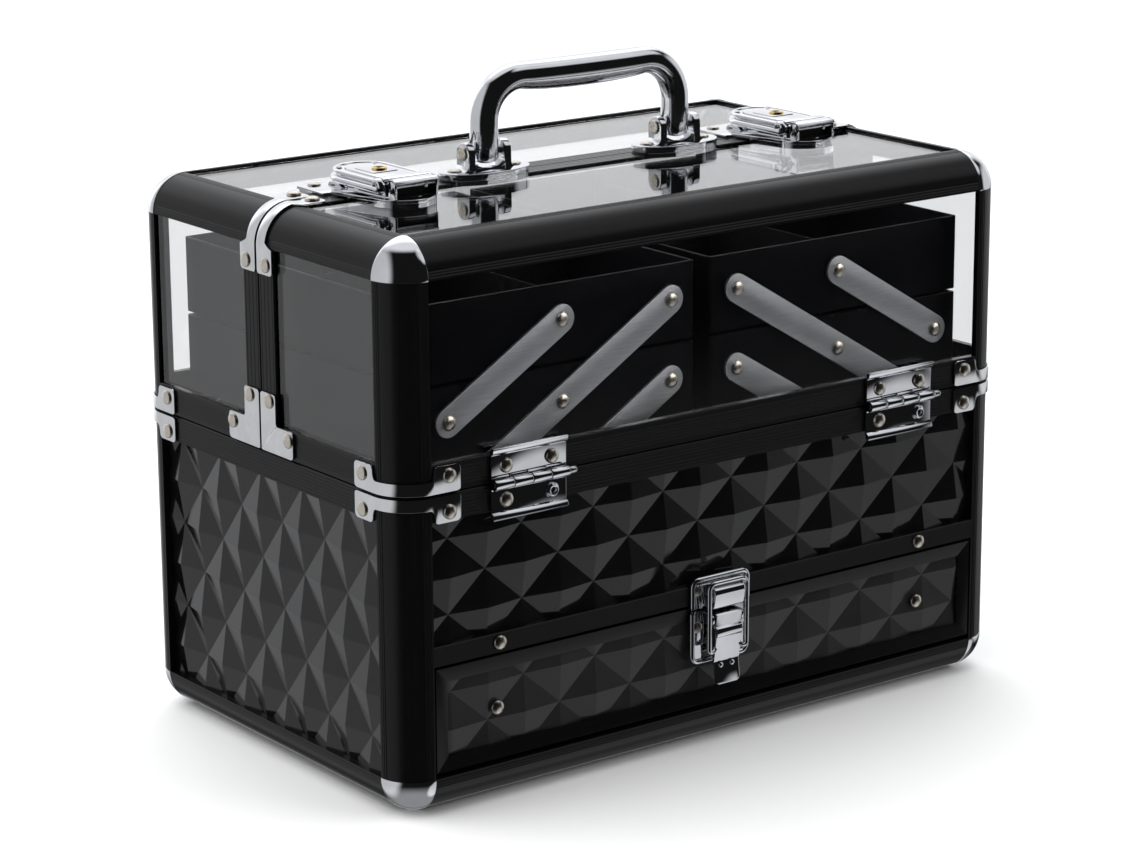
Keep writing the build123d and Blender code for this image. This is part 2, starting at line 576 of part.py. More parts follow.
def stud(x, z, sy, foot, head_at):
    """A pivot stud: a shank from its wall, with a flat head past the arm."""
    low, high = sorted((foot, head_at))
    shank = rod_y(x, span(sy, low, high), z, STUD_R)
    away = 1 if head_at > foot else -1
    head = rod_y(x, span(sy, head_at, head_at + away * STUD_HEAD_T), z, STUD_HEAD_R)
    return shank + head


def make_tray(name, sx, level):
    """An open tray with a long divider and a cross divider, and its pivot studs."""
    low = PIVOT_Z[level] - PIVOT_ABOVE_TRAY
    high = low + TRAY_H
    xs = span(sx, *TRAY_X)
    tub = block(xs, (-TRAY_HALF_D, TRAY_HALF_D), (low, high))
    tub -= block((xs[0] + TRAY_WALL, xs[1] - TRAY_WALL),
                 (-TRAY_HALF_D + TRAY_WALL, TRAY_HALF_D - TRAY_WALL), (low + TRAY_WALL, high + 1))
    middle = sum(xs) / 2
    half = TRAY_WALL / 2
    divider_top = high - 4.0
    tub += block((middle - half, middle + half), (-TRAY_HALF_D + 0.5, TRAY_HALF_D - 0.5),
                 (low + 0.5, divider_top))
    tub += block((xs[0] + 0.5, xs[1] - 0.5), (-half, half), (low + 0.5, divider_top))
    node(name, tub)
    clear = TRAY_HALF_D + 2 * ARM_GAP + ARM_T
    for i in ((0, 1, 2) if level == 1 else (1, 2)):
        for sy in (-1, 1):
            node(name, stud(sx * PIVOT_X[i], PIVOT_Z[level], sy, TRAY_HALF_D, clear))


def make_trays():
    for sx, side in ((-1, "left"), (1, "right")):
        make_tray(side + "_lower_tray", sx, 1)
        make_tray(side + "_upper_tray", sx, 2)
        for sy in (-1, 1):
            node(side + "_long_arms", arm(sx, sy, ((0, 0), (1, 1), (2, 2))))
            node(side + "_lower_arms", arm(sx, sy, ((1, 0), (2, 1))))
            node(side + "_upper_arms", arm(sx, sy, ((0, 1), (1, 2))))
            wall = HY - BASE_RAIL_T
            for i in (0, 1):
                node("base_pivot_studs", stud(sx * PIVOT_X[i], PIVOT_Z[0], sy, wall, TRAY_HALF_D))


make_base()
make_lid("front_lid", -1)
make_lid("back_lid", 1)
for latch_sign, latch_side in ((-1, "left"), (1, "right")):
    make_top_latch(latch_sign, latch_side)
make_handle()
make_drawer()
make_trays()

os.makedirs("parts", exist_ok=True)
for part_name, solids in nodes.items():
    pieces = [s for shape in solids for s in shape.solids()]
    export_step(Compound(children=pieces), f"parts/{part_name}.step")
print(len(nodes), "nodes")
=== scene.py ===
from math import copysign, cos, pi, radians, sin

import bmesh
import bpy
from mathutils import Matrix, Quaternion, Vector

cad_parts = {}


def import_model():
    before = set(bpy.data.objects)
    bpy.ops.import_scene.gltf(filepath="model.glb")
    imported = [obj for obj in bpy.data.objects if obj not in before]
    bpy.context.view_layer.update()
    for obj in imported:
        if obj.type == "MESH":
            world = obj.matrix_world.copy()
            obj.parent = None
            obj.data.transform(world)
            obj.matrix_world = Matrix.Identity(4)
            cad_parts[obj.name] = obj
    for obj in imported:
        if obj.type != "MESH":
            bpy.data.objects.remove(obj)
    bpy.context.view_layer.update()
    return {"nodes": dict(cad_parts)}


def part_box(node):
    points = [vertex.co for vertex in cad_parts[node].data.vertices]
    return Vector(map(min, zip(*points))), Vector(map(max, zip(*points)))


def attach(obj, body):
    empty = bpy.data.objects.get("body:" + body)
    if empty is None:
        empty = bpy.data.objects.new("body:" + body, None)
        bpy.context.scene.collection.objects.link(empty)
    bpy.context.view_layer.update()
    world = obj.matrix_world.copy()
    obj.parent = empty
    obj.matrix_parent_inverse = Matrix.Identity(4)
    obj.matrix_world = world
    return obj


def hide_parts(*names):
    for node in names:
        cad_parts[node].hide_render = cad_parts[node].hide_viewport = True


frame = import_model()
cad = frame["nodes"]
MM = 0.001

# ---- sizes read from the CAD frame, in mm


def mm_box(name):
    low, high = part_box(name)
    return low / MM, high / MM


frame_low, frame_high = mm_box("base_frame")
HX, HY = frame_high.x, frame_high.y
BASE_TOP = frame_high.z
lid_low, lid_high = mm_box("front_lid_frame")
CASE_H = lid_high.z
LID_LOW = lid_low.z
SEAM_Z = (BASE_TOP + LID_LOW) / 2
EDGE_R = 17.0
BEND = EDGE_R * pi / 2  # the way round the edge, from one face to the next
CX, CY = HX - EDGE_R, HY - EDGE_R
TOP_C = CASE_H - EDGE_R
FRAME_IN = 0.3               # the rails lie this far inside the corner caps' surface

# ---- materials

NOISE_SPAN = (0.3, 0.7)      # the part of the noise over which a value changes


def new_material(name):
    material = bpy.data.materials.new(name)
    material.use_nodes = True
    tree = material.node_tree
    return material, tree, tree.nodes["Principled BSDF"]


def new_node(tree, kind, **inputs):
    """A shader node with some of its inputs set; an input's name has _ for a space."""
    node = tree.nodes.new("ShaderNode" + kind)
    for name, value in inputs.items():
        node.inputs[name.replace("_", " ")].default_value = value
    return node


def noise_node(tree, scale, stretch=(1, 1, 1)):
    coords = new_node(tree, "TexCoord")
    mapping = new_node(tree, "Mapping", Scale=stretch)
    noise = new_node(tree, "TexNoise", Scale=scale, Detail=4.0, Roughness=0.55)
    tree.links.new(coords.outputs["Object"], mapping.inputs["Vector"])
    tree.links.new(mapping.outputs["Vector"], noise.inputs["Vector"])
    return noise.outputs["Fac"]


def ranged(tree, value, low, high):
    start, stop = NOISE_SPAN
    node = new_node(tree, "MapRange", From_Min=start, From_Max=stop, To_Min=low, To_Max=high)
    tree.links.new(value, node.inputs["Value"])
    return node.outputs["Result"]


def two_colours(tree, value, first, second):
    ramp = new_node(tree, "ValToRGB")
    for element, position, colour in zip(ramp.color_ramp.elements, NOISE_SPAN, (first, second)):
        element.position = position
        element.color = (*colour, 1)
    tree.links.new(value, ramp.inputs["Fac"])
    return ramp.outputs["Color"]


SLOTS = {}


def surface(name, slot, first, second, metallic, rough, scale, relief, specular=0.5,
            stretch=(1, 1, 1)):
    """A plain surface whose colour, roughness and relief vary with noise."""
    material, tree, shader = new_material(name)
    SLOTS[material] = slot
    value = noise_node(tree, scale, stretch)
    tree.links.new(two_colours(tree, value, first, second), shader.inputs["Base Color"])
    tree.links.new(ranged(tree, value, *rough), shader.inputs["Roughness"])
    shader.inputs["Metallic"].default_value = metallic
    shader.inputs["Specular IOR Level"].default_value = specular
    strength, distance = relief
    bump = new_node(tree, "Bump", Strength=strength, Distance=distance)
    tree.links.new(noise_node(tree, scale * 3, stretch), bump.inputs["Height"])
    tree.links.new(bump.outputs["Normal"], shader.inputs["Normal"])
    return material


def acrylic():
    material, tree, shader = new_material("clear_acrylic_sheet")
    value = noise_node(tree, 20.0)
    tree.links.new(two_colours(tree, value, (0.935, 0.937, 0.936), (0.960, 0.961, 0.960)),
                   shader.inputs["Base Color"])
    tree.links.new(ranged(tree, value, 0.0, 0.015), shader.inputs["Roughness"])
    shader.inputs["Transmission Weight"].default_value = 1.0
    shader.inputs["IOR"].default_value = 1.49
    return material


BLACK = (0.0025, 0.0025, 0.0028)
DARK = (0.004, 0.004, 0.0045)
ACRYLIC = acrylic()
ANODISED = {
    axis: surface(f"anodised_black_{axis}", "black_frame", BLACK, DARK, 0.0, (0.20, 0.26), 60.0,
                  (0.02, 0.00001), 0.20, stretch)
    for axis, stretch in {"x": (0.15, 25, 25), "y": (25, 0.15, 25), "z": (25, 25, 0.15)}.items()
}
PANEL = surface("glossy_black_sheet", "black_panel", BLACK, DARK, 0.0, (0.08, 0.13), 22.0,
                (0.02, 0.0001), 0.48)
DRAWER_PANEL = surface("satin_black_sheet", "black_panel", (0.010, 0.010, 0.0105),
                       (0.014, 0.014, 0.0145), 0.0, (0.26, 0.34), 22.0, (0.02, 0.0001))
BOARD = surface("painted_board", "black_board", (0.010, 0.010, 0.011), (0.02, 0.02, 0.022), 0.0,
                (0.45, 0.65), 120.0, (0.25, 0.0001), 0.3)
# painted shade: a near-black surface laid in holes, under the latch lips and covers and in the
# keyways, where the parts are only in shade
PAINTED_SHADE = surface("painted_shade_black", "black_board", (0.004, 0.004, 0.004), (0.010, 0.010, 0.010), 0.2,
               (0.5, 0.7), 100.0, (0.1, 0.00005), 0.2)
TRAY = surface("tray_board", "tray_plastic", (0.0035, 0.0038, 0.006), (0.006, 0.0062, 0.009), 0.0,
               (0.38, 0.5), 160.0, (0.03, 0.00003), 0.07)
LINING = surface("tray_lining", "tray_plastic", (0.008, 0.008, 0.009), (0.02, 0.02, 0.022), 0.0,
                 (0.85, 0.98), 700.0, (0.6, 0.0002), 0.1)
CHROME = surface("chrome_plate", "chrome_fittings", (0.72, 0.73, 0.76), (0.80, 0.81, 0.84), 1.0,
                 (0.03, 0.08), 70.0, (0.03, 0.0001))
PRESSED = surface("pressed_chrome_sheet", "chrome_fittings", (0.74, 0.75, 0.77),
                  (0.84, 0.85, 0.86), 1.0, (0.05, 0.12), 110.0, (0.04, 0.0001))
NICKEL = surface("nickel_rivet", "nickel_rivets", (0.60, 0.55, 0.47), (0.72, 0.67, 0.60), 1.0,
                 (0.22, 0.34), 300.0, (0.08, 0.00004))
STEEL = surface("steel_wire", "steel_pins", (0.50, 0.51, 0.53), (0.62, 0.63, 0.65), 1.0,
                (0.14, 0.26), 200.0, (0.06, 0.00004))
BRASS = surface("brass_lock", "brass_key", (0.80, 0.56, 0.18), (0.90, 0.68, 0.28), 1.0,
                (0.16, 0.28), 300.0, (0.06, 0.00003))
ARM = surface("brushed_arm", "arm_steel", (0.56, 0.57, 0.60), (0.72, 0.73, 0.76), 0.45,
              (0.30, 0.42), 120.0, (0.12, 0.00002), stretch=(0.6, 1, 12))

# ---- mesh building, in mm


class Shape:
    """Collects closed solids in mm and turns them into one piece."""

    def __init__(self):
        self.bm = bmesh.new()

    def add(self, verts, faces, bevel=0.0, segments=2, angle=32.0):
        part = bmesh.new()
        points = [part.verts.new(Vector(v)) for v in verts]
        for face in faces:
            if len(set(face)) > 2:
                part.faces.new([points[i] for i in dict.fromkeys(face)])
        bmesh.ops.remove_doubles(part, verts=part.verts, dist=0.0005)
        bmesh.ops.recalc_face_normals(part, faces=part.faces)
        if bevel:
            limit = radians(angle)
            edges = [e for e in part.edges
                     if len(e.link_faces) == 2 and e.calc_face_angle(0.0) > limit]
            bmesh.ops.bevel(part, geom=edges, offset=bevel, segments=segments, profile=0.6,
                            affect="EDGES", clamp_overlap=True)
        mesh = bpy.data.meshes.new("part")
        part.to_mesh(mesh)
        part.free()
        self.bm.from_mesh(mesh)
        bpy.data.meshes.remove(mesh)

    def block(self, outline, a, b, place, bevel=0.0, angle=40.0, segments=2):
        """A 2-D outline carried from a to b. place(u, v, w) gives the point in the row frame."""
        rings = [[place(u, v, w) for u, v in outline] for w in (a, b)]
        self.add(*skin(rings), bevel, segments, angle)

    def turned(self, profile, place, count=28):
        """A profile turned about the face's outward direction."""
        self.add(*lathe(profile, place, count))

    def piece(self, name, body, material, replaces=(), sharp=35.0, slot=None):
        bmesh.ops.scale(self.bm, vec=(MM, MM, MM), verts=self.bm.verts)
        mesh = bpy.data.meshes.new(name)
        self.bm.to_mesh(mesh)
        self.bm.free()
        mesh.shade_smooth()
        mesh.set_sharp_from_angle(angle=radians(sharp))
        obj = bpy.data.objects.new(name, mesh)
        bpy.context.scene.collection.objects.link(obj)
        mesh.materials.append(material)
        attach(obj, body)
        if replaces:
            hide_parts(*replaces)
        slot or SLOTS[material]


def skin(rings):
    """A closed solid through rings of points, with its first and last ring filled."""
    n = len(rings[0])
    verts = [point for ring in rings for point in ring]
    faces = [tuple(range(n)), tuple(range(len(verts) - 1, len(verts) - n - 1, -1))]
    for a in range(0, len(verts) - n, n):
        faces += [(a + i, a + (i + 1) % n, a + n + (i + 1) % n, a + n + i) for i in range(n)]
    return verts, faces


def lathe(profile, place, count=28):
    """A profile of (radius, height) turned about w. It starts and ends on the axis."""
    verts, rings = [], []
    for r, h in profile:
        if r < 1e-6:
            rings.append([len(verts)] * count)
            verts.append(place(0, 0, h))
            continue
        rings.append(list(range(len(verts), len(verts) + count)))
        for k in range(count):
            t = 2 * pi * k / count
            verts.append(place(r * cos(t), r * sin(t), h))
    faces = []
    for one, two in zip(rings, rings[1:]):
        for k in range(count):
            m = (k + 1) % count
            faces.append((one[k], one[m], two[m], two[k]))
    return verts, faces


def tube(path, section):
    """A section, one list or one for each point of path, swept along the path."""
    points = [Vector(p) for p in path]
    rings = section if isinstance(section[0], list) else [section] * len(points)
    placed, normal = [], None
    for i, p in enumerate(points):
        along = (points[min(i + 1, len(points) - 1)] - points[max(i - 1, 0)]).normalized()
        if normal is None:
            normal = Vector((0, 1, 0)) if abs(along.y) < 0.9 else Vector((1, 0, 0))
        normal = (normal - along * normal.dot(along)).normalized()
        side = along.cross(normal)
        placed.append([p + normal * a + side * b for a, b in rings[i]])
    return skin(placed)


def circle(r, count=16):
    return arc(0, 0, r, r, 2 * pi, count)[:-1]


def rounded(u0, u1, v0, v1, r, steps=5):
    """A rectangle with round corners. r is one radius, or four from the low left corner on."""
    radii = r if isinstance(r, (tuple, list)) else (r, r, r, r)
    out = []
    corners = ((u0, v0, 1, 1, 180), (u1, v0, -1, 1, 270), (u1, v1, -1, -1, 0), (u0, v1, 1, -1, 90))
    for (cu, cv, du, dv, start), radius in zip(corners, radii):
        if radius <= 0.01:
            out.append((cu, cv))
            continue
        for k in range(steps + 1):
            t = radians(start + 90 * k / steps)
            out.append((cu + du * radius + radius * cos(t),
                        cv + dv * radius + radius * sin(t)))
    return out


def on_face(face):
    """A place function: u runs along the face, v up it (or along Y on the top), w out of it."""
    return {
        "front": lambda u, v, w: (u, -HY - w, v),
        "back": lambda u, v, w: (u, HY + w, v),
        "left": lambda u, v, w: (-HX - w, u, v),
        "right": lambda u, v, w: (HX + w, u, v),
        "top": lambda u, v, w: (u, v, CASE_H + w),
    }[face]


LONG_FACE = {-1: "front", 1: "back"}
END_FACE = {-1: "left", 1: "right"}


def at(place, u0, v0, w0=0.0):
    """The same face, with its origin moved."""
    return lambda u, v, w: place(u0 + u, v0 + v, w0 + w)


def along_u(place):
    """The same face for an outline seen from its side, as (v, w), and carried along u."""
    return lambda v, w, u: place(u, v, w)


def along_v(place):
    """The same face for an outline seen from below, as (u, w), and carried along v."""
    return lambda u, w, v: place(u, v, w)


def sideways(place, u0, v0, w0, s):
    """A place at (u0, v0, w0) on the face whose outward direction is s along u."""
    return lambda v, w, u: place(u0 + s * u, v0 + v, w0 + w)


def arc_steps(turn, count, first=0):
    """Angles from 0 to turn in equal steps; first=1 leaves out both ends."""
    return [turn * k / count for k in range(first, count + 1 - first)]


def arc(centre_u, centre_v, half_u, half_v, turn, count):
    """Points of an ellipse, from the end at centre_u + half_u round to the given angle."""
    return [(centre_u + half_u * cos(t), centre_v + half_v * sin(t))
            for t in arc_steps(turn, count)]


# ---- black extrusions

GROOVE_AT = (1.3, 2.5, 3.7)
GROOVE_HALF = 0.28
GROOVE_DEEP = 0.16


def edge_profile():
    """The quarter-round extrusion, with three fine grooves beside each panel."""
    r = EDGE_R - FRAME_IN
    length = r * pi / 2
    marks = {0.0: 0.0, length: 0.0}
    for g in GROOVE_AT:
        for s in (g, length - g):
            marks[s - GROOVE_HALF] = 0.0
            marks[s] = GROOVE_DEEP
            marks[s + GROOVE_HALF] = 0.0
    clear = 4.6               # from here to the other panel the face is plain
    marks.update({clear + (length - 2 * clear) * k / 14: 0.0 for k in range(15)})
    out = [((r - marks[s]) * cos(s / r), (r - marks[s]) * sin(s / r))
           for s in sorted(marks)]
    lip, wall = -0.02, 13.0
    out += [(lip, r - 0.3), (lip, wall)]
    out += [(v, u) for u, v in arc(0, 0, wall, wall, pi / 2, 6)]
    out += [(r - 0.3, lip)]
    return out


def rib_profile(low, high, thick, pitch=1.55, edge=1.2):
    """A flat rail across its width, with fine grooves along its face."""
    out = [(low, -thick), (low, -0.35 - FRAME_IN), (low + 0.35, -FRAME_IN)]
    count = int((high - low - 2 * edge) / pitch)
    start = (low + high - count * pitch) / 2
    for k in range(count + 1):
        g = start + k * pitch
        out += [(g - GROOVE_HALF, -FRAME_IN), (g, -FRAME_IN - GROOVE_DEEP),
                (g + GROOVE_HALF, -FRAME_IN)]
    out += [(high - 0.35, -FRAME_IN), (high, -0.35 - FRAME_IN), (high, -thick)]
    return out


EDGE = edge_profile()


def post(shape, sx, sy, z0, z1):
    shape.block(EDGE, z0, z1, lambda p, q, w: (sx * (CX + p), sy * (CY + q), w))


def rail_x(shape, sy, zc, up, x0, x1):
    shape.block(EDGE, x0, x1, lambda p, q, w: (w, sy * (CY + p), zc + up * q))


def rail_y(shape, sx, zc, up, y0, y1):
    shape.block(EDGE, y0, y1, lambda p, q, w: (sx * (CX + p), w, zc + up * q))


def flat_rail(shape, face, low, high, u0, u1, thick, **ribs):
    shape.block(rib_profile(low, high, thick, **ribs), u0, u1, along_u(on_face(face)))


def flat_upright(shape, face, low, high, v0, v1, thick, **ribs):
    shape.block(rib_profile(low, high, thick, **ribs), v0, v1, along_v(on_face(face)))


def base_extrusions():
    posts, along_x, along_y = Shape(), Shape(), Shape()
    for sx in (-1, 1):
        rail_y(along_y, sx, EDGE_R, -1, -CY, CY)
        flat_rail(along_y, END_FACE[sx], 129.5, BASE_TOP, -CY, CY, 6.0)
        for sy in (-1, 1):
            post(posts, sx, sy, EDGE_R, BASE_TOP)
    for sy in (-1, 1):
        rail_x(along_x, sy, EDGE_R, -1, -CX, CX)
        flat_rail(along_x, LONG_FACE[sy], 129.5, BASE_TOP, -CX, CX, 6.0)
    flat_rail(along_x, "front", 66.5, 75.5, -CX, CX, 6.0, pitch=1.3)
    posts.piece("base_corner_posts", "base", ANODISED["z"], sharp=28)
    along_x.piece("base_rails_along_x", "base", ANODISED["x"],
                  ("base_frame", "drawer_cross_rail"), sharp=28)
    along_y.piece("base_rails_along_y", "base", ANODISED["y"], ("base_top_rails",), sharp=28)


def lid_extrusions(body, sy):
    posts, along_x, along_y = Shape(), Shape(), Shape()
    y0, y1 = sorted((sy * 0.25, sy * CY))
    rail_x(along_x, sy, TOP_C, 1, -CX, CX)
    flat_rail(along_x, LONG_FACE[sy], LID_LOW, 154.5, -CX, CX, 5.0, pitch=1.4, edge=2.2)
    low, high = sorted((sy * 0.25, sy * 10.5))
    along_x.block(rib_profile(low, high, 4.5, pitch=2.6, edge=1.6), -CX, CX,
                  along_u(at(on_face("top"), 0, 0, 0.2)))
    for sx in (-1, 1):
        post(posts, sx, sy, LID_LOW, TOP_C)
        rail_y(along_y, sx, TOP_C, 1, y0, y1)
        flat_rail(along_y, END_FACE[sx], LID_LOW, 154.5, y0, y1, 5.0, pitch=1.4, edge=2.2)
        low, high = sorted((sy * 0.25, sy * 12.0))
        flat_upright(posts, END_FACE[sx], low, high, 154.5, TOP_C, 4.5, pitch=2.9, edge=1.4)
    posts.piece(body + "_uprights", body, ANODISED["z"], sharp=28)
    along_x.piece(body + "_rails_along_x", body, ANODISED["x"], (body + "_frame",), sharp=28)
    along_y.piece(body + "_rails_along_y", body, ANODISED["y"], (body + "_seam_bars",),
                  sharp=28)


base_extrusions()
for lid_body, lid_sy in (("front_lid", -1), ("back_lid", 1)):
    lid_extrusions(lid_body, lid_sy)

# ---- diamond sheets

DIAMOND_WIDE = 38.3
DIAMOND_TALL = 33.5


def clip(polygon, axis, limit, keep_above):
    """Cuts a polygon of (u, v, w) at u or v = limit."""
    out = []
    for one, two in zip(polygon, polygon[1:] + polygon[:1]):
        a = (one[axis] - limit) * (1 if keep_above else -1)
        b = (two[axis] - limit) * (1 if keep_above else -1)
        if a >= 0:
            out.append(one)
        if a * b < 0:
            t = a / (a - b)
            out.append(tuple(p + (q - p) * t for p, q in zip(one, two)))
    return out


def diamonds(shape, place, u0, u1, v0, v1, wide, tall, node, height, base_w, back_w):
    """A sheet of rhombic pyramids. node is one point where four of them meet."""
    bm = bmesh.new()
    i0, i1 = int((u0 - node[0]) / wide) - 2, int((u1 - node[0]) / wide) + 2
    j0, j1 = int((v0 - node[1]) / tall) - 2, int((v1 - node[1]) / tall) + 2
    for j in range(2 * j0, 2 * j1 + 1):
        for i in range(i0, i1 + 1):
            cu = node[0] + wide * (i + 0.5 * (1 - j % 2))
            cv = node[1] + tall * j / 2
            apex = (cu, cv, base_w + height)
            rim = [(cu - wide / 2, cv, base_w), (cu, cv - tall / 2, base_w),
                   (cu + wide / 2, cv, base_w), (cu, cv + tall / 2, base_w)]
            for a, b in zip(rim, rim[1:] + rim[:1]):
                face = [apex, a, b]
                for axis, limit, above in ((0, u0, True), (0, u1, False), (1, v0, True),
                                           (1, v1, False)):
                    face = clip(face, axis, limit, above)
                    if len(face) < 3:
                        break
                if len(face) >= 3:
                    bm.faces.new([bm.verts.new(p) for p in face])
    bmesh.ops.remove_doubles(bm, verts=bm.verts, dist=0.01)
    bmesh.ops.dissolve_degenerate(bm, edges=bm.edges, dist=0.01)
    rim = [e for e in bm.edges if len(e.link_faces) == 1]
    skirt = bmesh.ops.extrude_edge_only(bm, edges=rim)["geom"]
    for v in skirt:
        if isinstance(v, bmesh.types.BMVert):
            v.co.z = back_w
    low = [e for e in skirt if isinstance(e, bmesh.types.BMEdge) and len(e.link_faces) == 1]
    bmesh.ops.contextual_create(bm, geom=low)
    for v in bm.verts:
        v.co = Vector(place(*v.co))
    bmesh.ops.recalc_face_normals(bm, faces=bm.faces)
    mesh = bpy.data.meshes.new("sheet")
    bm.to_mesh(mesh)
    bm.free()
    shape.bm.from_mesh(mesh)
    bpy.data.meshes.remove(mesh)


def base_sheets():
    low, top, apex = EDGE_R - 0.1, 129.6, 2.9
    end_sheet = (DIAMOND_TALL, 39.4, (9.2, 130.1))
    long_sheet = (DIAMOND_WIDE, DIAMOND_TALL, (10.3, 120.6))
    for face, half, edge, pattern, nodes in (
            ("left", CY, low, end_sheet, ("base_end_panels",)), ("right", CY, low, end_sheet, ()),
            ("front", CX, 75.2, long_sheet, ("base_front_panel",)),
            ("back", CX, low, long_sheet, ("base_back_panel",))):
        shape = Shape()
        diamonds(shape, on_face(face), -half, half, edge, top, *pattern, apex, -1.6 - apex, -6.4)
        shape.piece(face + "_diamond_sheet", "base", PANEL, nodes, sharp=2.0)


base_sheets()

# ---- corner caps


def cap(shape, sx, sy, zc, up):
    """An eighth of a ball with its own thickness and a small rolled rim."""
    steps = 12
    verts, faces, index = [], [], {}
    for layer, r in enumerate((EDGE_R, EDGE_R - 1.2)):
        for i in range(steps + 1):
            theta = pi / 2 * i / steps
            for j in range(steps + 1):
                phi = pi / 2 * j / steps
                p = (r * cos(phi) * cos(theta), r * cos(phi) * sin(theta),
                     r * sin(phi))
                index[layer, i, j] = len(verts)
                verts.append((sx * (CX + p[0]), sy * (CY + p[1]), zc + up * p[2]))
    for i in range(steps):
        for j in range(steps):
            for layer in (0, 1):
                faces.append((index[layer, i, j], index[layer, i + 1, j],
                              index[layer, i + 1, j + 1], index[layer, i, j + 1]))
    for k in range(steps):
        faces.append((index[0, 0, k], index[0, 0, k + 1], index[1, 0, k + 1], index[1, 0, k]))
        faces.append((index[0, steps, k], index[0, steps, k + 1], index[1, steps, k + 1],
                      index[1, steps, k]))
        faces.append((index[0, k, 0], index[0, k + 1, 0], index[1, k + 1, 0], index[1, k, 0]))
    shape.add(verts, faces, bevel=0.3)


def ball_corners():
    for body, sides, z, up in (("base", (-1, 1), EDGE_R, -1), ("front_lid", (-1,), TOP_C, 1),
                               ("back_lid", (1,), TOP_C, 1)):
        shape = Shape()
        for sy in sides:
            for sx in (-1, 1):
                cap(shape, sx, sy, z, up)
        shape.piece(body + "_ball_corners", body, CHROME, (body + "_corner_caps",), sharp=40)


ball_corners()

# ---- pressed brackets


def columns(stations, thick, place):
    """A flat fitting made of upright columns (s, low, high); place(s, v, w) may bend it."""
    return skin([[place(s, low, 0.0), place(s, high, 0.0), place(s, high, thick),
                  place(s, low, thick)] for s, low, high in stations])


def round_corner(near, far, r, steps=4):
    """(distance along, inset) pairs for a round corner at far, met from near."""
    way = 1 if far > near else -1
    out = []
    for k in range(steps + 1):
        t = pi / 2 * k / steps
        out.append((far - way * r * (1 - sin(t)), r * (1 - cos(t))))
    return out


def bent(v, w):
    """A strip that goes straight up one face, round the edge at v = 0 and straight on.

    Gives how far a point lies out of the first face and of the second, from the edge's axis.
    """
    r = EDGE_R + w
    if v < 0:
        return r, v
    if v > BEND:
        return BEND - v, r
    return r * cos(v / EDGE_R), r * sin(v / EDGE_R)


def perimeter(sx, sy):
    """Carries s, the way round one corner of the case from the long face, to x and y."""
    def place(s, z, w):
        dy, dx = bent(s + BEND / 2, w)
        return (sx * (CX + dx), sy * (CY + dy), z)
    return place


BRACKET_T = 0.8
FLAG_H = 11.6
BAND_H = 5.4


def seam_bracket(shape, sx, sy, up):
    """Two flags joined by a narrow band round the corner post."""
    end = BEND / 2 + 14.0
    edge = SEAM_Z + up * 0.7
    heights = []
    for s, drop in round_corner(0, end, 2.2):
        heights.append((s, drop * 0.55, FLAG_H - drop))
    neck = BEND / 2 + 0.8
    for k in range(5):
        t = pi / 2 * k / 4
        heights.append((neck - 2.0 * (1 - cos(t)), 0.0,
                        FLAG_H - 1.6 - (FLAG_H - 1.6 - BAND_H) * sin(t)))
    heights.append((neck + 1.6, 0.0, FLAG_H))
    heights.append((neck + 0.5, 0.0, FLAG_H - 0.6))
    half = sorted(heights)
    middle = [(-half[0][0] + 2 * half[0][0] * k / 12, 0.0, BAND_H) for k in range(1, 12)]
    stations = [(-s, lo, hi) for s, lo, hi in reversed(half)] + middle + half
    done = []
    for s, lo, hi in stations:
        if done and abs(s - done[-1][0]) < 0.02:
            continue
        z0, z1 = sorted((edge + up * lo, edge + up * hi))
        done.append((s, z0, z1))
    shape.add(*columns(done, BRACKET_T, perimeter(sx, sy)), bevel=0.22, angle=50)


def corner_plate(shape, face, sy):
    """The L-shaped plate at the foot of a centre bar."""
    foot_end, leg_end, inner = 25.6, 12.4, 12.4
    low, foot_top, leg_top = LID_LOW + 0.7, LID_LOW + 13.0, 168.6
    cols = [(0.7, low + 0.5, leg_top - 1.0), (1.4, low, leg_top - 0.3), (2.2, low, leg_top)]
    cols += [(s, low, leg_top - drop) for s, drop in round_corner(0, leg_end, 1.8)]
    cols += [(inner + 0.02, low, foot_top + 1.2), (inner + 0.4, low, foot_top + 0.35),
             (inner + 1.2, low, foot_top)]
    cols += [(s, low + drop, foot_top - drop) for s, drop in round_corner(0, foot_end, 1.8)]
    cols = [(sy * s, lo, hi) for s, lo, hi in cols]
    cols.sort()
    place = on_face(face)
    shape.add(*columns(cols, BRACKET_T, place), bevel=0.2, angle=50)
    (y0, z0), (y1, z1) = (1.6, low + 0.7), (inner - 0.3, foot_top - 0.6)
    fold = [[place(sy * (y + d), z - d, BRACKET_T + w)
             for d, w in ((-0.4, -0.05), (0, 0.22), (0.4, -0.05))] for y, z in ((y0, z0), (y1, z1))]
    shape.add(*skin(fold))


def over_edge(sx):
    """Carries v, the way up an end face and over the top edge, to x and z."""
    def place(v, y, w):
        dx, dz = bent(v, w)
        return (sx * (CX + dx), y, TOP_C + dz)
    return place


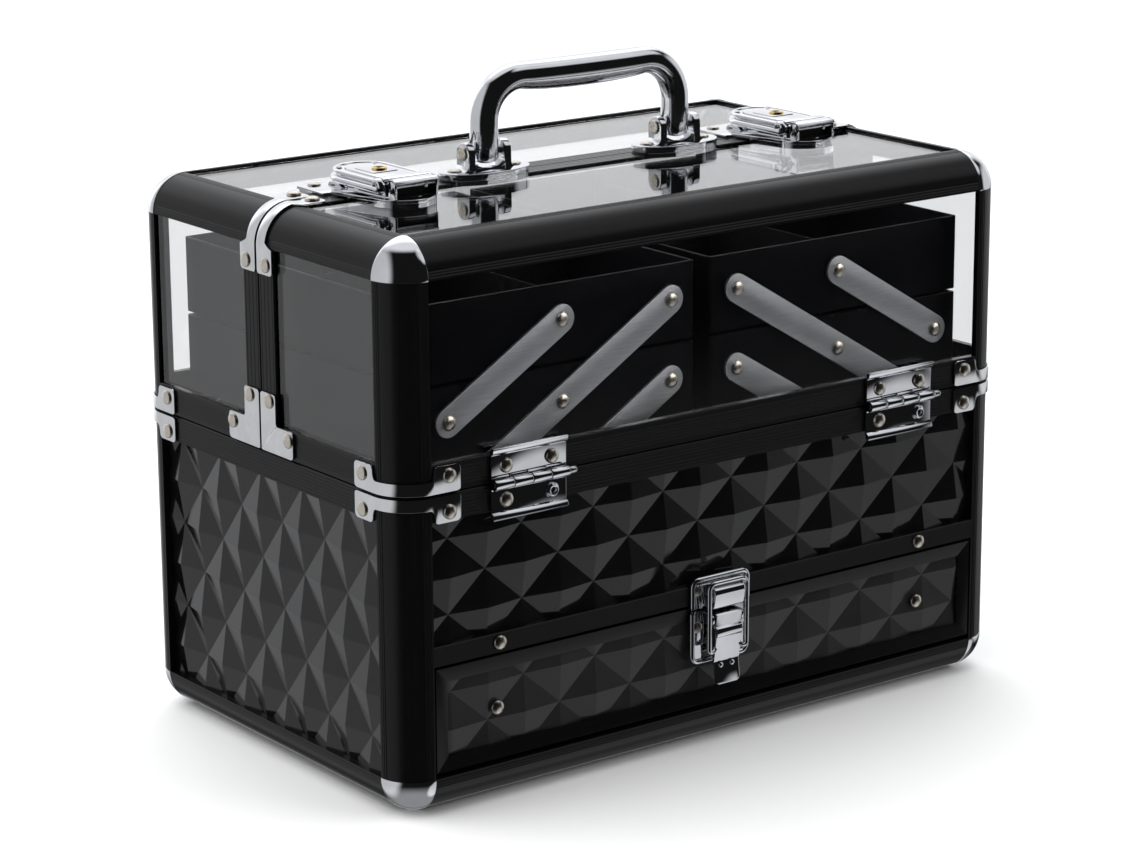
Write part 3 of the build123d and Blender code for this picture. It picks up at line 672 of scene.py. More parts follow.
def strap(shape, sx, sy):
    """The strap over the top edge: wide ends with a rivet, and a narrow middle."""
    low, shoulder, top_shoulder, end = -11.6, 2.2, BEND - 3.0, BEND + 12.0
    rows = []
    inner, wide, narrow = 0.8, 12.4, 7.2
    for v, drop in reversed(round_corner(0, low, 1.8)):
        rows.append((v, inner + drop * 0.6, wide - drop))
    for k in range(6):
        t = pi / 2 * k / 5
        rows.append((shoulder - 2.6 * (1 - sin(t)), inner,
                     narrow + (wide - narrow) * (1 - sin(t)) ** 1.3))
    rows += [(shoulder + (top_shoulder - shoulder) * k / 10, inner, narrow)
             for k in range(1, 11)]
    for k in range(1, 6):
        t = pi / 2 * k / 5
        rows.append((top_shoulder + 2.6 * (1 - cos(t)), inner,
                     narrow + (wide - narrow) * (1 - cos(t))))
    for v, drop in round_corner(0, end, 3.4, 6):
        rows.append((v, inner + drop * 0.9, wide - drop * 1.2))
    rows = sorted(set(rows))
    cols = [(v, *sorted((sy * a, sy * b))) for v, a, b in rows]
    shape.add(*columns(cols, BRACKET_T, over_edge(sx)), bevel=0.2, angle=50)


def brackets():
    for body, sides, up in (("base", (-1, 1), -1), ("front_lid", (-1,), 1), ("back_lid", (1,), 1)):
        straps, plates = Shape(), Shape()
        for sy in sides:
            for sx in (-1, 1):
                seam_bracket(straps, sx, sy, up)
                if up > 0:
                    corner_plate(plates, END_FACE[sx], sy)
                    strap(plates, sx, sy)
        straps.piece(body + "_seam_straps", body, PRESSED, (body + "_seam_brackets",))
        if up > 0:
            plates.piece(body + "_centre_plates", body, PRESSED, (body + "_centre_brackets",))


brackets()

# ---- hinges and rivets

HINGE_X, HINGE_HALF_W, HINGE_AXIS = 104.3, 19.5, 2.5
KNUCKLE_R = {-1: 2.5, 1: 2.15}
LEAF_T = 1.15
RIVET_R, RIVET_H, END_RIVET_H = 3.3, 1.9, 1.38
FLAG_RIVET_IN = 25.1          # rivets of the corner straps, in from the case's faces
LIDS = {-1: "front_lid", 1: "back_lid"}
rivets = {body: Shape() for body in ("base", "front_lid", "back_lid")}


def hinge_leaf(shape, sx, sy, up):
    """A stamped leaf: flat plate, outward lip, and two rolled knuckles."""
    plate = [(2.4, 0.15), (12.6, 0.15), (13.4, 0.4), (15.2, 0.9), (15.7, 1.6), (15.7, 2.6),
             (15.0, 3.0), (13.6, 2.6), (12.9, 1.9), (12.3, 1.2), (2.4, LEAF_T)]
    web = [(0.3, -2.4), (3.0, -2.4), (3.0, -1.35), (2.2, -1.1), (1.6, 0.0), (0.3, 0.0)]
    plate, web = ([(up * v, w) for v, w in outline] for outline in (plate, web))
    seam = at(on_face(LONG_FACE[sy]), 0, SEAM_Z)
    axis = along_u(at(seam, 0, 0, HINGE_AXIS))
    left = sx * HINGE_X - HINGE_HALF_W
    shape.block(plate, left, left + 2 * HINGE_HALF_W, along_u(seam), bevel=0.22, angle=60)
    pitch = 2 * HINGE_HALF_W / 4
    for k in ((0, 2) if up < 0 else (1, 3)):
        a, b = left + k * pitch + 0.2, left + (k + 1) * pitch - 0.2
        shape.block(circle(KNUCKLE_R[sy], 24), a, b, axis, bevel=0.25, angle=60)
        shape.block(web, a, b, axis, bevel=0.1, angle=60)


def hinge_pin(shape, sx, sy):
    """A pin through the knuckles, with its head at the right-hand end."""
    axis = along_u(at(on_face(LONG_FACE[sy]), 0, SEAM_Z, HINGE_AXIS))
    end = sx * HINGE_X + HINGE_HALF_W
    shape.block(circle(1.25, 20), end - 2 * HINGE_HALF_W + 0.1, end, axis, bevel=0.2, angle=60)
    shape.block(circle(1.7, 24), end + 0.3, end + 3.8, axis, bevel=0.5, angle=60)


def rivet(shape, place, r=RIVET_R, h=RIVET_H):
    """A domed head with a short skirt."""
    skirt = 0.5
    dome = arc(0, skirt, r * 0.985, h - skirt, pi / 2, 6)
    shape.turned([(0.0, 0.0), (r * 0.93, 0.0), (r, 0.22)] + dome, place, 24)


def eyelet(rings, hole_shade, place):
    """A rolled eyelet, open in the middle, with a near-black disc of painted shade at the bottom of
    its hole.
    """
    rings.turned([(1.05, 0.1), (1.15, 0.9), (1.5, 1.4), (2.1, 1.55), (2.7, 1.3), (RIVET_R, 0.5),
                  (RIVET_R, 0.0), (1.05, 0.0), (1.05, 0.1)], place)
    # painted shade: a thin near-black disc at the bottom of the eyelet's hole
    hole_shade.turned([(0.0, 0.0), (1.1, 0.0), (1.1, 0.3), (0.0, 0.3)], place, 20)


def corner_rivets(eyelets, hole_shade, sx, sy):
    """The rivets of one quarter of the case: hinge, corner straps and centre plates."""
    lid = LIDS[sy]
    long_face, end_face = on_face(LONG_FACE[sy]), on_face(END_FACE[sx])
    for up, body in ((-1, "base"), (1, lid)):
        for dx in (-11.9, 11.9):
            spot = at(long_face, sx * HINGE_X + dx, SEAM_Z + up * 7.4, LEAF_T)
            if up < 0 and sy < 0 and dx > 0:
                eyelet(eyelets, hole_shade, spot)
            else:
                rivet(rivets[body], spot)
        z = SEAM_Z + up * 7.8
        rivet(rivets[body], at(long_face, sx * (HX - FLAG_RIVET_IN), z, BRACKET_T))
        rivet(rivets[body], at(end_face, sy * (HY - FLAG_RIVET_IN), z, BRACKET_T), h=END_RIVET_H)
    for y, z in ((7.85, SEAM_Z + 23.8), (22.3, SEAM_Z + 9.1), (7.85, 224.8)):
        rivet(rivets[lid], at(end_face, sy * y, z, BRACKET_T), h=END_RIVET_H)
    rivet(rivets[lid], at(on_face("top"), sx * (HX - 23.9), sy * 7.3, BRACKET_T))


def hinges():
    pins, eyelets, hole_shade, base_leaves = Shape(), Shape(), Shape(), Shape()
    lid_leaves = {-1: Shape(), 1: Shape()}
    for sy in LIDS:
        for sx in (-1, 1):
            hinge_leaf(base_leaves, sx, sy, -1)
            hinge_leaf(lid_leaves[sy], sx, sy, 1)
            hinge_pin(pins, sx, sy)
            corner_rivets(eyelets, hole_shade, sx, sy)
    for x in (-119.3, 119.3):
        rivet(rivets["base"], at(on_face("front"), x, 71.3, -FRAME_IN))
    pins.piece("hinge_pin_set", "base", STEEL, ("hinge_pins",))
    eyelets.piece("hinge_eyelets", "base", CHROME)
    hole_shade.piece("hinge_eyelet_painted_shade", "base", PAINTED_SHADE)
    base_leaves.piece("base_hinge_plates", "base", CHROME, ("lower_hinge_leaves",))
    for sy, lid in LIDS.items():
        lid_leaves[sy].piece(lid + "_hinge_plates", lid, CHROME, (lid + "_hinge_leaves",))


hinges()

# ---- handle

HANDLE_X, HANDLE_Y, HANDLE_TOP = 53.8, -4.5, 298.0
HANDLE_BEND = 19.0
LEG_R = 6.1
EAR_R, PIVOT_W = 4.9, 11.0    # the ears' round tops, and their centre above the lid
RAIL_FRONT = -10.7            # the clear top starts here, in front of the centre rail


def superellipse(half_u, half_v, power_u, power_v, count):
    """A closed outline; powers under 1 make an ellipse squarer."""
    ring = []
    for k in range(count):
        c, s = cos(2 * pi * k / count), sin(2 * pi * k / count)
        ring.append((half_u * copysign(abs(c) ** power_u, c),
                     half_v * copysign(abs(s) ** power_v, s)))
    return ring


def grip_section(inward, across):
    """The handle's section, LEG_R deep outwards and of the given depth towards the hand."""
    squareness = 2 / 2.35
    ring = superellipse(across, 1.0, squareness, squareness, 32)
    return [(u, v * (LEG_R if v > 0 else inward)) for u, v in ring]


def handle_bar():
    """Two straight legs, two bends and a grip that swells towards its middle."""
    top_z = HANDLE_TOP - LEG_R
    half = HANDLE_X - HANDLE_BEND
    stations = [(-HANDLE_X, z, 0.0) for z in (255.2, 256.0, 258.0, 262.0, 268.0)]
    stations += [(x, z, 0.0) for x, z in arc(-half, top_z - HANDLE_BEND, -HANDLE_BEND,
                                             HANDLE_BEND, pi / 2, 12)]
    stations += [(-half * q, top_z, (1 - q ** 2.2) ** 0.8) for q in arc_steps(1, 12, 1)[::-1]]
    stations += [(0.0, top_z, 1.0)] + [(-x, z, swell) for x, z, swell in reversed(stations)]
    rings = [grip_section(LEG_R + 1.9 * swell, LEG_R + 0.7 * swell) for _, _, swell in stations]
    for end, r in ((0, 3.6), (1, 5.2)):
        small = [(u * r / LEG_R, v * r / LEG_R) for u, v in grip_section(LEG_R, LEG_R)]
        rings[end] = rings[-1 - end] = small
    shape = Shape()
    shape.add(*tube([(x, HANDLE_Y, z) for x, z, _ in stations], rings))
    shape.piece("carry_handle_bar", "carry_handle", CHROME, ("handle",), sharp=50)


def cut_plan(outline, limit):
    """The part of a plan outline that lies in front of y = limit."""
    flat = [(u, v, 0.0) for u, v in outline]
    return [(u, v) for u, v, _ in clip(flat, 1, limit, False)]


def stand(shape, outline, top, spot, y0=0.0):
    """A thick plate that stands on the clear top in front and bridges the rail behind."""
    shape.block(outline, 0.45, top, spot, bevel=0.45, segments=3)
    shape.block(cut_plan(outline, RAIL_FRONT - y0), -1.45, 0.7, spot, bevel=0.04, segments=1)


def handle_mount(plates, pins, sx):
    """An oval plate with two ears and two flat rivets, and the handle's pivot pin."""
    spot = at(on_face("top"), sx * HANDLE_X, HANDLE_Y)
    stand(plates, superellipse(22.8, 12.4, 0.88, 0.95, 48), 3.7, spot, HANDLE_Y)
    ear = [(-4.95, 5.0), (-5.3, 3.2), (5.3, 3.2), (4.95, 5.0)]
    ear += arc(0, PIVOT_W, EAR_R, EAR_R, pi, 14)
    for s in (-1, 1):
        plates.block(ear, s * 7.9, s * 11.6, along_u(spot), bevel=0.7, segments=3)
        foot = [(s * u, w) for u, w in ((11.4, 3.5), (14.0, 3.5), (12.4, 4.3), (11.4, 6.0))]
        plates.block(foot, -4.6, 4.6, along_v(spot), bevel=0.3)
        pins.turned([(0, -0.4), (3.3, -0.4), (3.3, 0.3), (3.0, 0.75), (1.8, 1.0), (0, 1.05)],
                    sideways(spot, s * 11.6, 0, PIVOT_W, s))
        rivets["front_lid"].turned([(0, 0.0), (3.3, 0.0), (3.3, 0.3), (3.0, 0.7), (2.4, 0.75),
                                    (1.9, 0.6), (0, 0.6)], at(spot, s * 16.2, 0, 3.65))
    saddle = [(-8.0, 3.4), (8.0, 3.4), (8.0, 6.4), (4.5, 5.0), (0, 4.4), (-4.5, 5.0), (-8.0, 6.4)]
    plates.block(saddle, -5.2, 5.2, along_v(spot), bevel=0.4, angle=25)
    pins.block(circle(1.8, 20), -12, 12, along_u(at(spot, 0, 0, PIVOT_W)))


def handle_mounts():
    plates, pins = Shape(), Shape()
    for sx in (-1, 1):
        handle_mount(plates, pins, sx)
    plates.piece("handle_mounting_plates", "front_lid", CHROME, ("handle_brackets",))
    pins.piece("handle_pivot_pins", "front_lid", NICKEL, ("handle_pins",))


handle_bar()
handle_mounts()

# ---- top latches

LATCH_X = 112.0
HASP_NOSE, HASP_BACK, HASP_HALF = -26.0, 3.5, 13.0
COVER_PIN_Y, COVER_PIN_W = -26.0, 7.0
KEY_Y = -8.0


def shield(back_half, back, half, round_y, r):
    """A plan outline: wide at the back, tapering to a round front end."""
    return [(back_half, back), (-back_half, back)] + arc(0, round_y, -half, -r, pi, 20)


def end_loop(half, front_y, r):
    """A plan path round the hasp: up one side, round the back and down the other side."""
    side = [(half, front_y), (half, front_y + 8.0)]
    return side + arc(0, HASP_BACK, half, r, pi, 20) + [(-u, v) for u, v in side[::-1]]


def latch_ground(plates, shade_patches, pins, spot):
    """The front half's plate: cheeks and lugs, a rolled lip, near-black patches of painted shade
    (discs on the cheeks, a wall under the lip, a sheet under the hasp), the pin and its hook.
    """
    stand(plates, shield(20.5, -0.7, 14.8, -25.5, 14.8), 2.2, spot)
    plates.block(shield(12.0, -1.5, 11.0, -25.0, 10.0), 2.1, 2.7, spot, bevel=0.25)
    cheek = rounded(-36.4, -31.5, 2.1, 10.7, (0.6, 0.3, 0.6, 1.6))
    lug = rounded(-27.3, -24.7, 2.1, 8.5, (0.1, 0.1, 1.2, 1.2))
    for s in (-1, 1):
        plates.block(cheek, s * 9.9, s * 11.2, along_u(spot), bevel=0.35)
        plates.block(lug, s * 8.4, s * 9.9, along_u(spot), bevel=0.3)
        # painted shade: dark discs on the cheeks, a dark wall under the lip and a dark sheet under
        # the hasp cover
        shade_patches.turned([(0, 0), (0.95, 0), (0.95, 0.08), (0, 0.08)],
                    sideways(spot, s * 11.16, -34.0, 5.6, s), 16)
    lip = [(-37.0, 9.3), (-36.4, 10.2), (-35.2, 10.7), (-31.5, 10.7), (-31.5, 9.8), (-35.0, 9.8),
           (-36.1, 9.1), (-36.6, 8.8)]
    plates.block(lip, -11.2, 11.2, along_u(spot), bevel=0.12, angle=30)
    shade_patches.block(rounded(-32.6, -31.7, 2.6, 9.8, 0.2), -9.9, 9.9, along_u(spot))
    shade_patches.block(rounded(-9.8, 9.8, -35.6, -6.0, 0.6), 2.65, 2.95, spot)
    pins.block(circle(1.3, 18), -10.2, 10.2, along_u(at(spot, 0, -34.6, 8.0)))
    hook = [(-35.9, 6.2), (-35.9, 8.6), (-35.0, 9.6), (-33.4, 9.6), (-33.4, 9.2), (-34.6, 9.0),
            (-35.2, 8.2), (-35.2, 6.2)]
    pins.block(hook, 4.6, 6.2, along_u(spot), bevel=0.12, angle=32)


def latch_strike(strikes, spot):
    """The back half's plate with its catch block, two guides and two flat rivets."""
    def plan(half, front_y, side_y, back_half, back_y):
        right = [(half, front_y), (half, side_y), (back_half, back_y)]
        return [(-half, front_y)] + right + [(-back_half, back_y), (-half, side_y)]
    strikes.block(plan(23.5, 0.8, 21.5, 20.5, 25.0), 0.1, 1.3, spot, bevel=0.25)
    strikes.block(plan(22.5, 10.8, 21.0, 20.0, 24.0), -1.45, 0.2, spot)
    strikes.block(rounded(-7.0, 7.0, 4.0, 12.0, 1.0), 1.2, 3.4, spot, bevel=0.4)
    guide = [(3.0, 1.2), (13.5, 1.2), (13.5, 2.2), (12.0, 3.6), (5.0, 3.6), (3.0, 2.2)]
    for s in (-1, 1):
        strikes.block(guide, s * 10.4, s * 12.6, along_u(spot), bevel=0.25, angle=32)
        rivets["back_lid"].turned([(0, 0.0), (3.1, 0.0), (3.1, 0.3), (2.8, 0.75), (2.2, 0.8),
                                   (1.7, 0.62), (0, 0.62)], at(spot, s * 16.3, 18.8, 1.25))


def latch_hasp(spot, side):
    """The hinged cover: a top plate, a skirt with two round beads, a panel, a lip and bosses."""
    cover = Shape()
    cover.block(end_loop(HASP_HALF - 0.7, HASP_NOSE + 2.0, 12.3), 7.6, 9.4, spot, bevel=0.35)
    cover.block(arc(0, HASP_BACK, HASP_HALF * 0.94, 12.3, pi, 20), 5.0, 8.0, spot)
    for half, nose, r, w, bead in ((12.8, -28.0, 13.0, 8.9, 1.0), (13.2, -27.0, 13.8, 5.5, 1.65)):
        path = [spot(u, v, w) for u, v in end_loop(half, nose, r)]
        cover.add(*tube(path, circle(bead, 14 if bead < 1.5 else 16)))
    panel = [(-9.3, -20.5), (-6.5, -22.0), (6.5, -22.0), (9.3, -20.5)]
    panel += arc(0, 3.0, 9.3, 8.5, pi, 14)
    cover.block(panel, 9.3, 10.0, spot, bevel=0.3, angle=30)
    cover.block(rounded(-6.6, 6.6, -13.5, 2.0, 1.2), 9.9, 10.35, spot, bevel=0.18, angle=30)
    lip = [(-29.2, 9.5), (-28.9, 10.3), (-28.0, 10.7), (-24.6, 10.8), (-22.6, 10.4), (-20.0, 9.6),
           (-20.0, 9.0), (-24.0, 9.7), (-28.6, 9.7)]
    cover.block(lip, -11.6, 11.6, along_u(spot), bevel=0.12, angle=25)
    for s in (-1, 1):
        cover.block(rounded(HASP_NOSE - 1.0, HASP_BACK, 5.0, 9.0, 0.6), s * 11.4, s * 12.5,
                    along_u(spot), bevel=0.2)
        cover.turned([(0, 0), (1.5, 0), (1.5, 0.3), (1.0, 0.75), (0, 0.85)],
                     at(spot, s * 9.4, 9.4, 9.5), 16)
        cover.turned([(0, -1.6), (3.5, -1.6), (3.5, 0.5), (3.1, 1.1), (2.2, 1.25), (1.6, 0.9),
                      (1.2, 0.3), (0, 0.2)],
                     sideways(spot, s * 13.1, COVER_PIN_Y, COVER_PIN_W, s))
    cover.piece(side + "_latch_hasp", side + "_latch", CHROME, (side + "_latch_cover",))


def latch_key(spot, side):
    """The round lock barrel, and its keyway drawn as a thin near-black slab of painted shade."""
    key, slot = Shape(), Shape()
    barrel = at(spot, 0, KEY_Y)
    key.turned([(0, 10.2), (3.5, 10.2), (3.5, 10.8), (3.2, 11.3), (2.5, 11.3), (2.25, 11.0),
                (0, 11.0)], barrel)
    key.piece(side + "_lock_barrel", side + "_key", BRASS, (side + "_latch_key",))
    # painted shade: the keyway is a thin dark slab on the barrel's face, not a cut
    slot.block(rounded(-0.5, 0.5, -1.95, 1.95, 0.4), 10.98, 11.06, barrel)
    slot.piece(side + "_keyway_painted_shade", side + "_key", PAINTED_SHADE, slot="brass_key")


def top_latches():
    plates, strikes, shade_patches, pins = Shape(), Shape(), Shape(), Shape()
    for sx, side in ((-1, "left"), (1, "right")):
        spot = at(on_face("top"), sx * LATCH_X, 0)
        latch_ground(plates, shade_patches, pins, spot)
        latch_strike(strikes, spot)
        latch_hasp(spot, side)
        latch_key(spot, side)
    plates.piece("latch_ground_plates", "front_lid", CHROME, ("top_latch_plates",))
    shade_patches.piece("latch_painted_shade", "front_lid", PAINTED_SHADE)
    pins.piece("latch_cross_pins", "front_lid", STEEL)
    strikes.piece("latch_back_plates", "back_lid", CHROME, ("top_latch_strikes",))


top_latches()

# ---- drawer

DRAWER_HALF, DRAWER_LOW, DRAWER_TOP = 152.2, 19.2, 65.4
TRIM = 6.5
LATCH_HALF = 16.4
STRIKE_LOW, STRIKE_TOP, PLATE_LOW, PLATE_TOP = 64.9, 79.2, 39.4, 63.9
TAB_TOP, TAB_LEAN = 41.2, 0.13   # the lever's tab leans out from the face towards its tip
front = on_face("front")


def drawer_trim():
    """Four mitred bars that slope down to the sheet."""
    half_in, low_in, top_in = DRAWER_HALF - TRIM, DRAWER_LOW + TRIM, DRAWER_TOP - TRIM
    outer = [(-DRAWER_HALF, DRAWER_LOW), (DRAWER_HALF, DRAWER_LOW), (DRAWER_HALF, DRAWER_TOP),
             (-DRAWER_HALF, DRAWER_TOP)]
    inner = [(-half_in, low_in), (half_in, low_in), (half_in, top_in), (-half_in, top_in)]
    face, low, back = -0.55, -1.5, -4.4
    shape = Shape()
    for i in range(4):
        j = (i + 1) % 4
        back_ring = [front(u, v, back) for u, v in (outer[i], outer[j], inner[j], inner[i])]
        face_ring = [front(*outer[i], face), front(*outer[j], face), front(*inner[j], low),
                     front(*inner[i], low)]
        shape.add(*skin([back_ring, face_ring]), bevel=0.12, angle=20)
    shape.piece("drawer_mitred_trim", "drawer", ANODISED["x"], ("drawer_trim",), sharp=25)


def drawer_sheet():
    over = 0.3 - TRIM             # the sheet's edge lies under the trim
    shape = Shape()
    diamonds(shape, front, -DRAWER_HALF - over, DRAWER_HALF + over, DRAWER_LOW - over,
             DRAWER_TOP + over, DIAMOND_WIDE, DIAMOND_TALL, (-105.0, 53.5), 1.5, -3.3, -4.4)
    shape.piece("drawer_diamond_sheet", "drawer", DRAWER_PANEL, ("drawer_front_panel",),
                sharp=2.0)


def framed_plate(shape, cut, end, base, bead_w):
    """A pressed plate with a round bead along three sides, open at the cut edge."""
    corners = (0.3, 0.3, 3.6, 3.6) if end > cut else (3.6, 3.6, 0.3, 0.3)
    shape.block(rounded(-LATCH_HALF, LATCH_HALF, *sorted((cut, end)), corners), base, base + 1.0,
                front, bevel=0.3)
    way, edge, r = (1 if end > cut else -1), LATCH_HALF - 0.9, 3.2
    path = [(-edge, cut + 0.9 * way)]
    path += arc(r - edge, end - way * (0.9 + r), -r, way * r, pi / 2, 7)
    path += [(-u, v) for u, v in reversed(path)]
    shape.add(*tube([front(u, v, bead_w) for u, v in path], circle(1.25, 14)))


def drawer_strike():
    """The upper plate on the rail, with the catch nose and a bar over it."""
    shape = Shape()
    framed_plate(shape, STRIKE_LOW, STRIKE_TOP, 0.0, 0.9)
    nose = [(65.3, 0.8), (65.3, 6.9), (66.4, 7.4), (72.4, 8.45), (74.4, 7.8), (75.9, 5.2),
            (76.2, 0.8)]
    bar = [(77.0, 0.7), (76.2, 2.6), (75.4, 2.6), (75.4, 0.7)]
    shape.block(nose, -8.6, 8.6, along_u(front), bevel=0.7, segments=3, angle=25)
    shape.block(bar, -12.5, 12.5, along_u(front), bevel=0.3, angle=30)
    shape.piece("drawer_catch_nose", "base", CHROME, ("drawer_strike",))


def drawer_latch_bed():
    """The lower plate with the lever's two ears."""
    shape = Shape()
    framed_plate(shape, PLATE_TOP, PLATE_LOW, -0.4, 0.5)
    ear = rounded(57.5, 62.5, 0.3, 7.0, (0.2, 0.2, 2.0, 2.0))
    for s in (-1, 1):
        shape.block(ear, s * 7.75, s * 8.8, along_u(front), bevel=0.25)
    shape.piece("drawer_latch_bed", "drawer", CHROME, ("drawer_latch_plate",))


def drawer_face_rivets():
    shape = Shape()
    for s in (-1, 1):
        rivet(shape, at(front, s * 120.0, 41.9, -1.9))
        rivet(shape, at(front, s * 12.9, 56.5, 0.6), 2.7, 1.4)
        rivet(rivets["base"], at(front, s * 12.9, 73.6, 1.0), 2.7, 1.4)
    shape.piece("drawer_rivet_heads", "drawer", NICKEL, ("drawer_rivets",))


def drawer_lever():
    """A pressed lever with two ridges and a thin tab below, which has two dimples."""
    side = [(63.0, 7.0), (62.2, 7.8), (56.8, 6.8), (56.3, 7.9), (55.2, 8.4), (53.4, 8.4),
            (52.4, 8.0), (52.0, 7.6), (40.6, 5.9), (40.0, 5.4), (40.0, 4.6), (41.0, 4.4),
            (57.0, 3.9), (62.0, 4.4), (63.0, 5.2)]
    shape = Shape()
    shape.block(side, -7.2, 7.2, along_u(front), bevel=0.25, angle=25)
    shape.block(rounded(-7.0, 7.0, 29.8, TAB_TOP, (2.4, 2.4, 0.4, 0.4)), 4.7, 5.5,
                lambda u, v, w: front(u, v, w + (TAB_TOP - v) * TAB_LEAN), bevel=0.25)
    for s in (-1, 1):
        shape.turned([(0, 0.0), (1.3, 0.0), (1.1, 0.4), (0.7, 0.75), (0, 0.9)],
                     at(front, s * 3.2, 38.4, 5.75), 18)
    shape.piece("drawer_lever_plate", "drawer_lever", CHROME, ("drawer_latch_lever",), sharp=30)


def drawer_bail():
    """The bent wire that reaches from the lever over the catch nose."""
    half, low, top, out = 10.6, 45.2, 77.2, 6.6
    foot_r, top_r = 1.2, 3.2
    path = [(6.8, low + 1.6, out - 0.6), (half - 2.4, low + 0.5, out - 0.3)]
    path += [(half - foot_r + foot_r * sin(t), low + 2.0 - 1.6 * cos(t), out)
             for t in arc_steps(pi / 2, 5)[1:]]
    path += [(half, 60.0, out)]
    path += [(u, v, out) for u, v in arc(half - top_r, top - top_r, top_r, top_r, pi / 2, 6)]
    path += [(0, top, out)] + [(-u, v, w) for u, v, w in reversed(path)]
    shape = Shape()
    shape.add(*tube([front(*p) for p in path], circle(1.15, 14)))
    shape.piece("drawer_wire_bail", "drawer_bail", CHROME, ("drawer_latch_bail",), sharp=50)


drawer_trim()
drawer_sheet()
drawer_strike()
drawer_latch_bed()
drawer_face_rivets()
drawer_lever()
drawer_bail()
for rivet_body, rivet_heads in rivets.items():
    rivet_heads.piece(rivet_body + "_rivet_heads", rivet_body, NICKEL, (rivet_body + "_rivets",))

# ---- drawer box, boards


def open_box(shape, x0, x1, y0, y1, z0, z1, wall, floor, bevel):
    """A tray: four walls with a rounded rim and a floor."""
    outer = rounded(x0, x1, y0, y1, 2.0)
    inner = rounded(x0 + wall, x1 - wall, y0 + wall, y1 - wall, 1.2)
    levels = ((outer, z0), (outer, z1), (inner, z1), (inner, z0 + floor))
    rings = [[(x, y, z) for x, y in ring] for ring, z in levels]
    shape.add(*skin(rings), bevel=bevel, angle=50)


def solid_box(shape, x0, x1, y0, y1, z0, z1, bevel=0.3):
    outline = [(x0, y0), (x1, y0), (x1, y1), (x0, y1)]
    shape.block(outline, z0, z1, lambda u, v, w: (u, v, w), bevel=bevel)


def drawer_tub():
    low, high = mm_box("drawer_box")
    tub, lining = Shape(), Shape()
    open_box(tub, low.x, high.x, low.y, high.y, low.z, high.z, 2.0, 2.0, 0.35)
    tub.piece("drawer_tub", "drawer", BOARD, ("drawer_box",))
    solid_box(lining, low.x + 2.3, high.x - 2.3, low.y + 2.3, high.y - 2.3, low.z + 2.1,
              low.z + 3.2)
    lining.piece("drawer_floor_lining", "drawer", LINING)


drawer_tub()
for node, finish in (("base_floor", BOARD), ("drawer_deck", BOARD), ("drawer_runners", BOARD),
                     ("front_lid_windows", ACRYLIC), ("back_lid_windows", ACRYLIC),
                     ("base_pivot_studs", NICKEL)):
    cad[node].data.materials.clear()
    cad[node].data.materials.append(finish)

# ---- trays and arms

PIVOT_X = (136.5, 77.5, 18.5)
PIVOT_Z = (132.0, 167.8, 203.6)
TRAY_D, TRAY_H, TRAY_DROP = 90.0, 34.2, 18.8   # half depth, height, floor below its pivots
ARM_R = 6.5
ARM_IN, ARM_OUT = TRAY_D + 0.4, TRAY_D + 1.9


def tray(side, sx, level):
    """A tub split by a long and a cross divider, with a lining in each of its four cells."""
    name = ("lower", "upper")[level - 1]
    body = f"{side}_tray_{('low', 'high')[level - 1]}"
    z0 = PIVOT_Z[level] - TRAY_DROP
    divider_top = z0 + TRAY_H - 4.0
    x0, x1 = sorted((sx * 4.0, sx * 151.0))
    shell, inserts = Shape(), Shape()
    open_box(shell, x0, x1, -TRAY_D, TRAY_D, z0, z0 + TRAY_H, 1.8, 1.6, 0.4)
    shell.piece(f"{side}_{name}_tray_shell", body, TRAY, (f"{side}_{name}_tray",))
    middle = (x0 + x1) / 2
    solid_box(inserts, middle - 0.8, middle + 0.8, -TRAY_D + 1.9, TRAY_D - 1.9, z0 + 1.7,
              divider_top, 0.35)
    for a, b in ((x0 + 1.9, middle - 0.9), (middle + 0.9, x1 - 1.9)):
        solid_box(inserts, a, b, -0.8, 0.8, z0 + 1.7, divider_top, 0.35)
        for c, d in ((-TRAY_D + 2.0, -1.0), (1.0, TRAY_D - 2.0)):
            solid_box(inserts, a + 0.1, b - 0.1, c, d, z0 + 1.65, z0 + 2.5)
    inserts.piece(f"{side}_{name}_tray_inserts", body, LINING)


def arm(bars, heads, sx, sy, stations):
    """A flat bar with round ends, and a rivet head at each pivot. stations index the pivots."""
    first, last = [Vector((sx * PIVOT_X[i], PIVOT_Z[k])) for i, k in (stations[0], stations[-1])]
    run = (last - first).normalized()
    across = Vector((-run.y, run.x))
    far_end = [((last - first).length + v, -u) for u, v in arc(0, 0, ARM_R, ARM_R, pi, 12)]
    outline = [(-v, u) for u, v in arc(0, 0, ARM_R, ARM_R, pi, 12)] + far_end

    def place(u, v, w):
        p = first + run * u + across * v
        return (p.x, sy * w, p.y)
    bars.block(outline, ARM_IN, ARM_OUT, place, bevel=0.3)
    for i, k in stations:
        x, z = sx * PIVOT_X[i], PIVOT_Z[k]
        rivet(heads, lambda u, v, w, x=x, z=z: (x + u, sy * (ARM_OUT + w), z + v), h=1.5)


def trays_and_arms(sx, side):
    for level in (1, 2):
        tray(side, sx, level)
    for kind, stations in (("long", ((0, 0), (1, 1), (2, 2))), ("lower", ((1, 0), (2, 1))),
                           ("upper", ((0, 1), (1, 2)))):
        bars, heads = Shape(), Shape()
        for sy in (-1, 1):
            arm(bars, heads, sx, sy, stations)
        body = f"{side}_{kind}_arm_pair"
        bars.piece(f"{side}_{kind}_arm_bars", body, ARM, (f"{side}_{kind}_arms",))
        heads.piece(f"{side}_{kind}_arm_rivets", body, NICKEL)


trays_and_arms(-1, "left")
trays_and_arms(1, "right")

# ---- stage, light and camera

DARK_ROOM, BACKDROP = 0.008, 0.95    # the world's light between the patches, and as seen


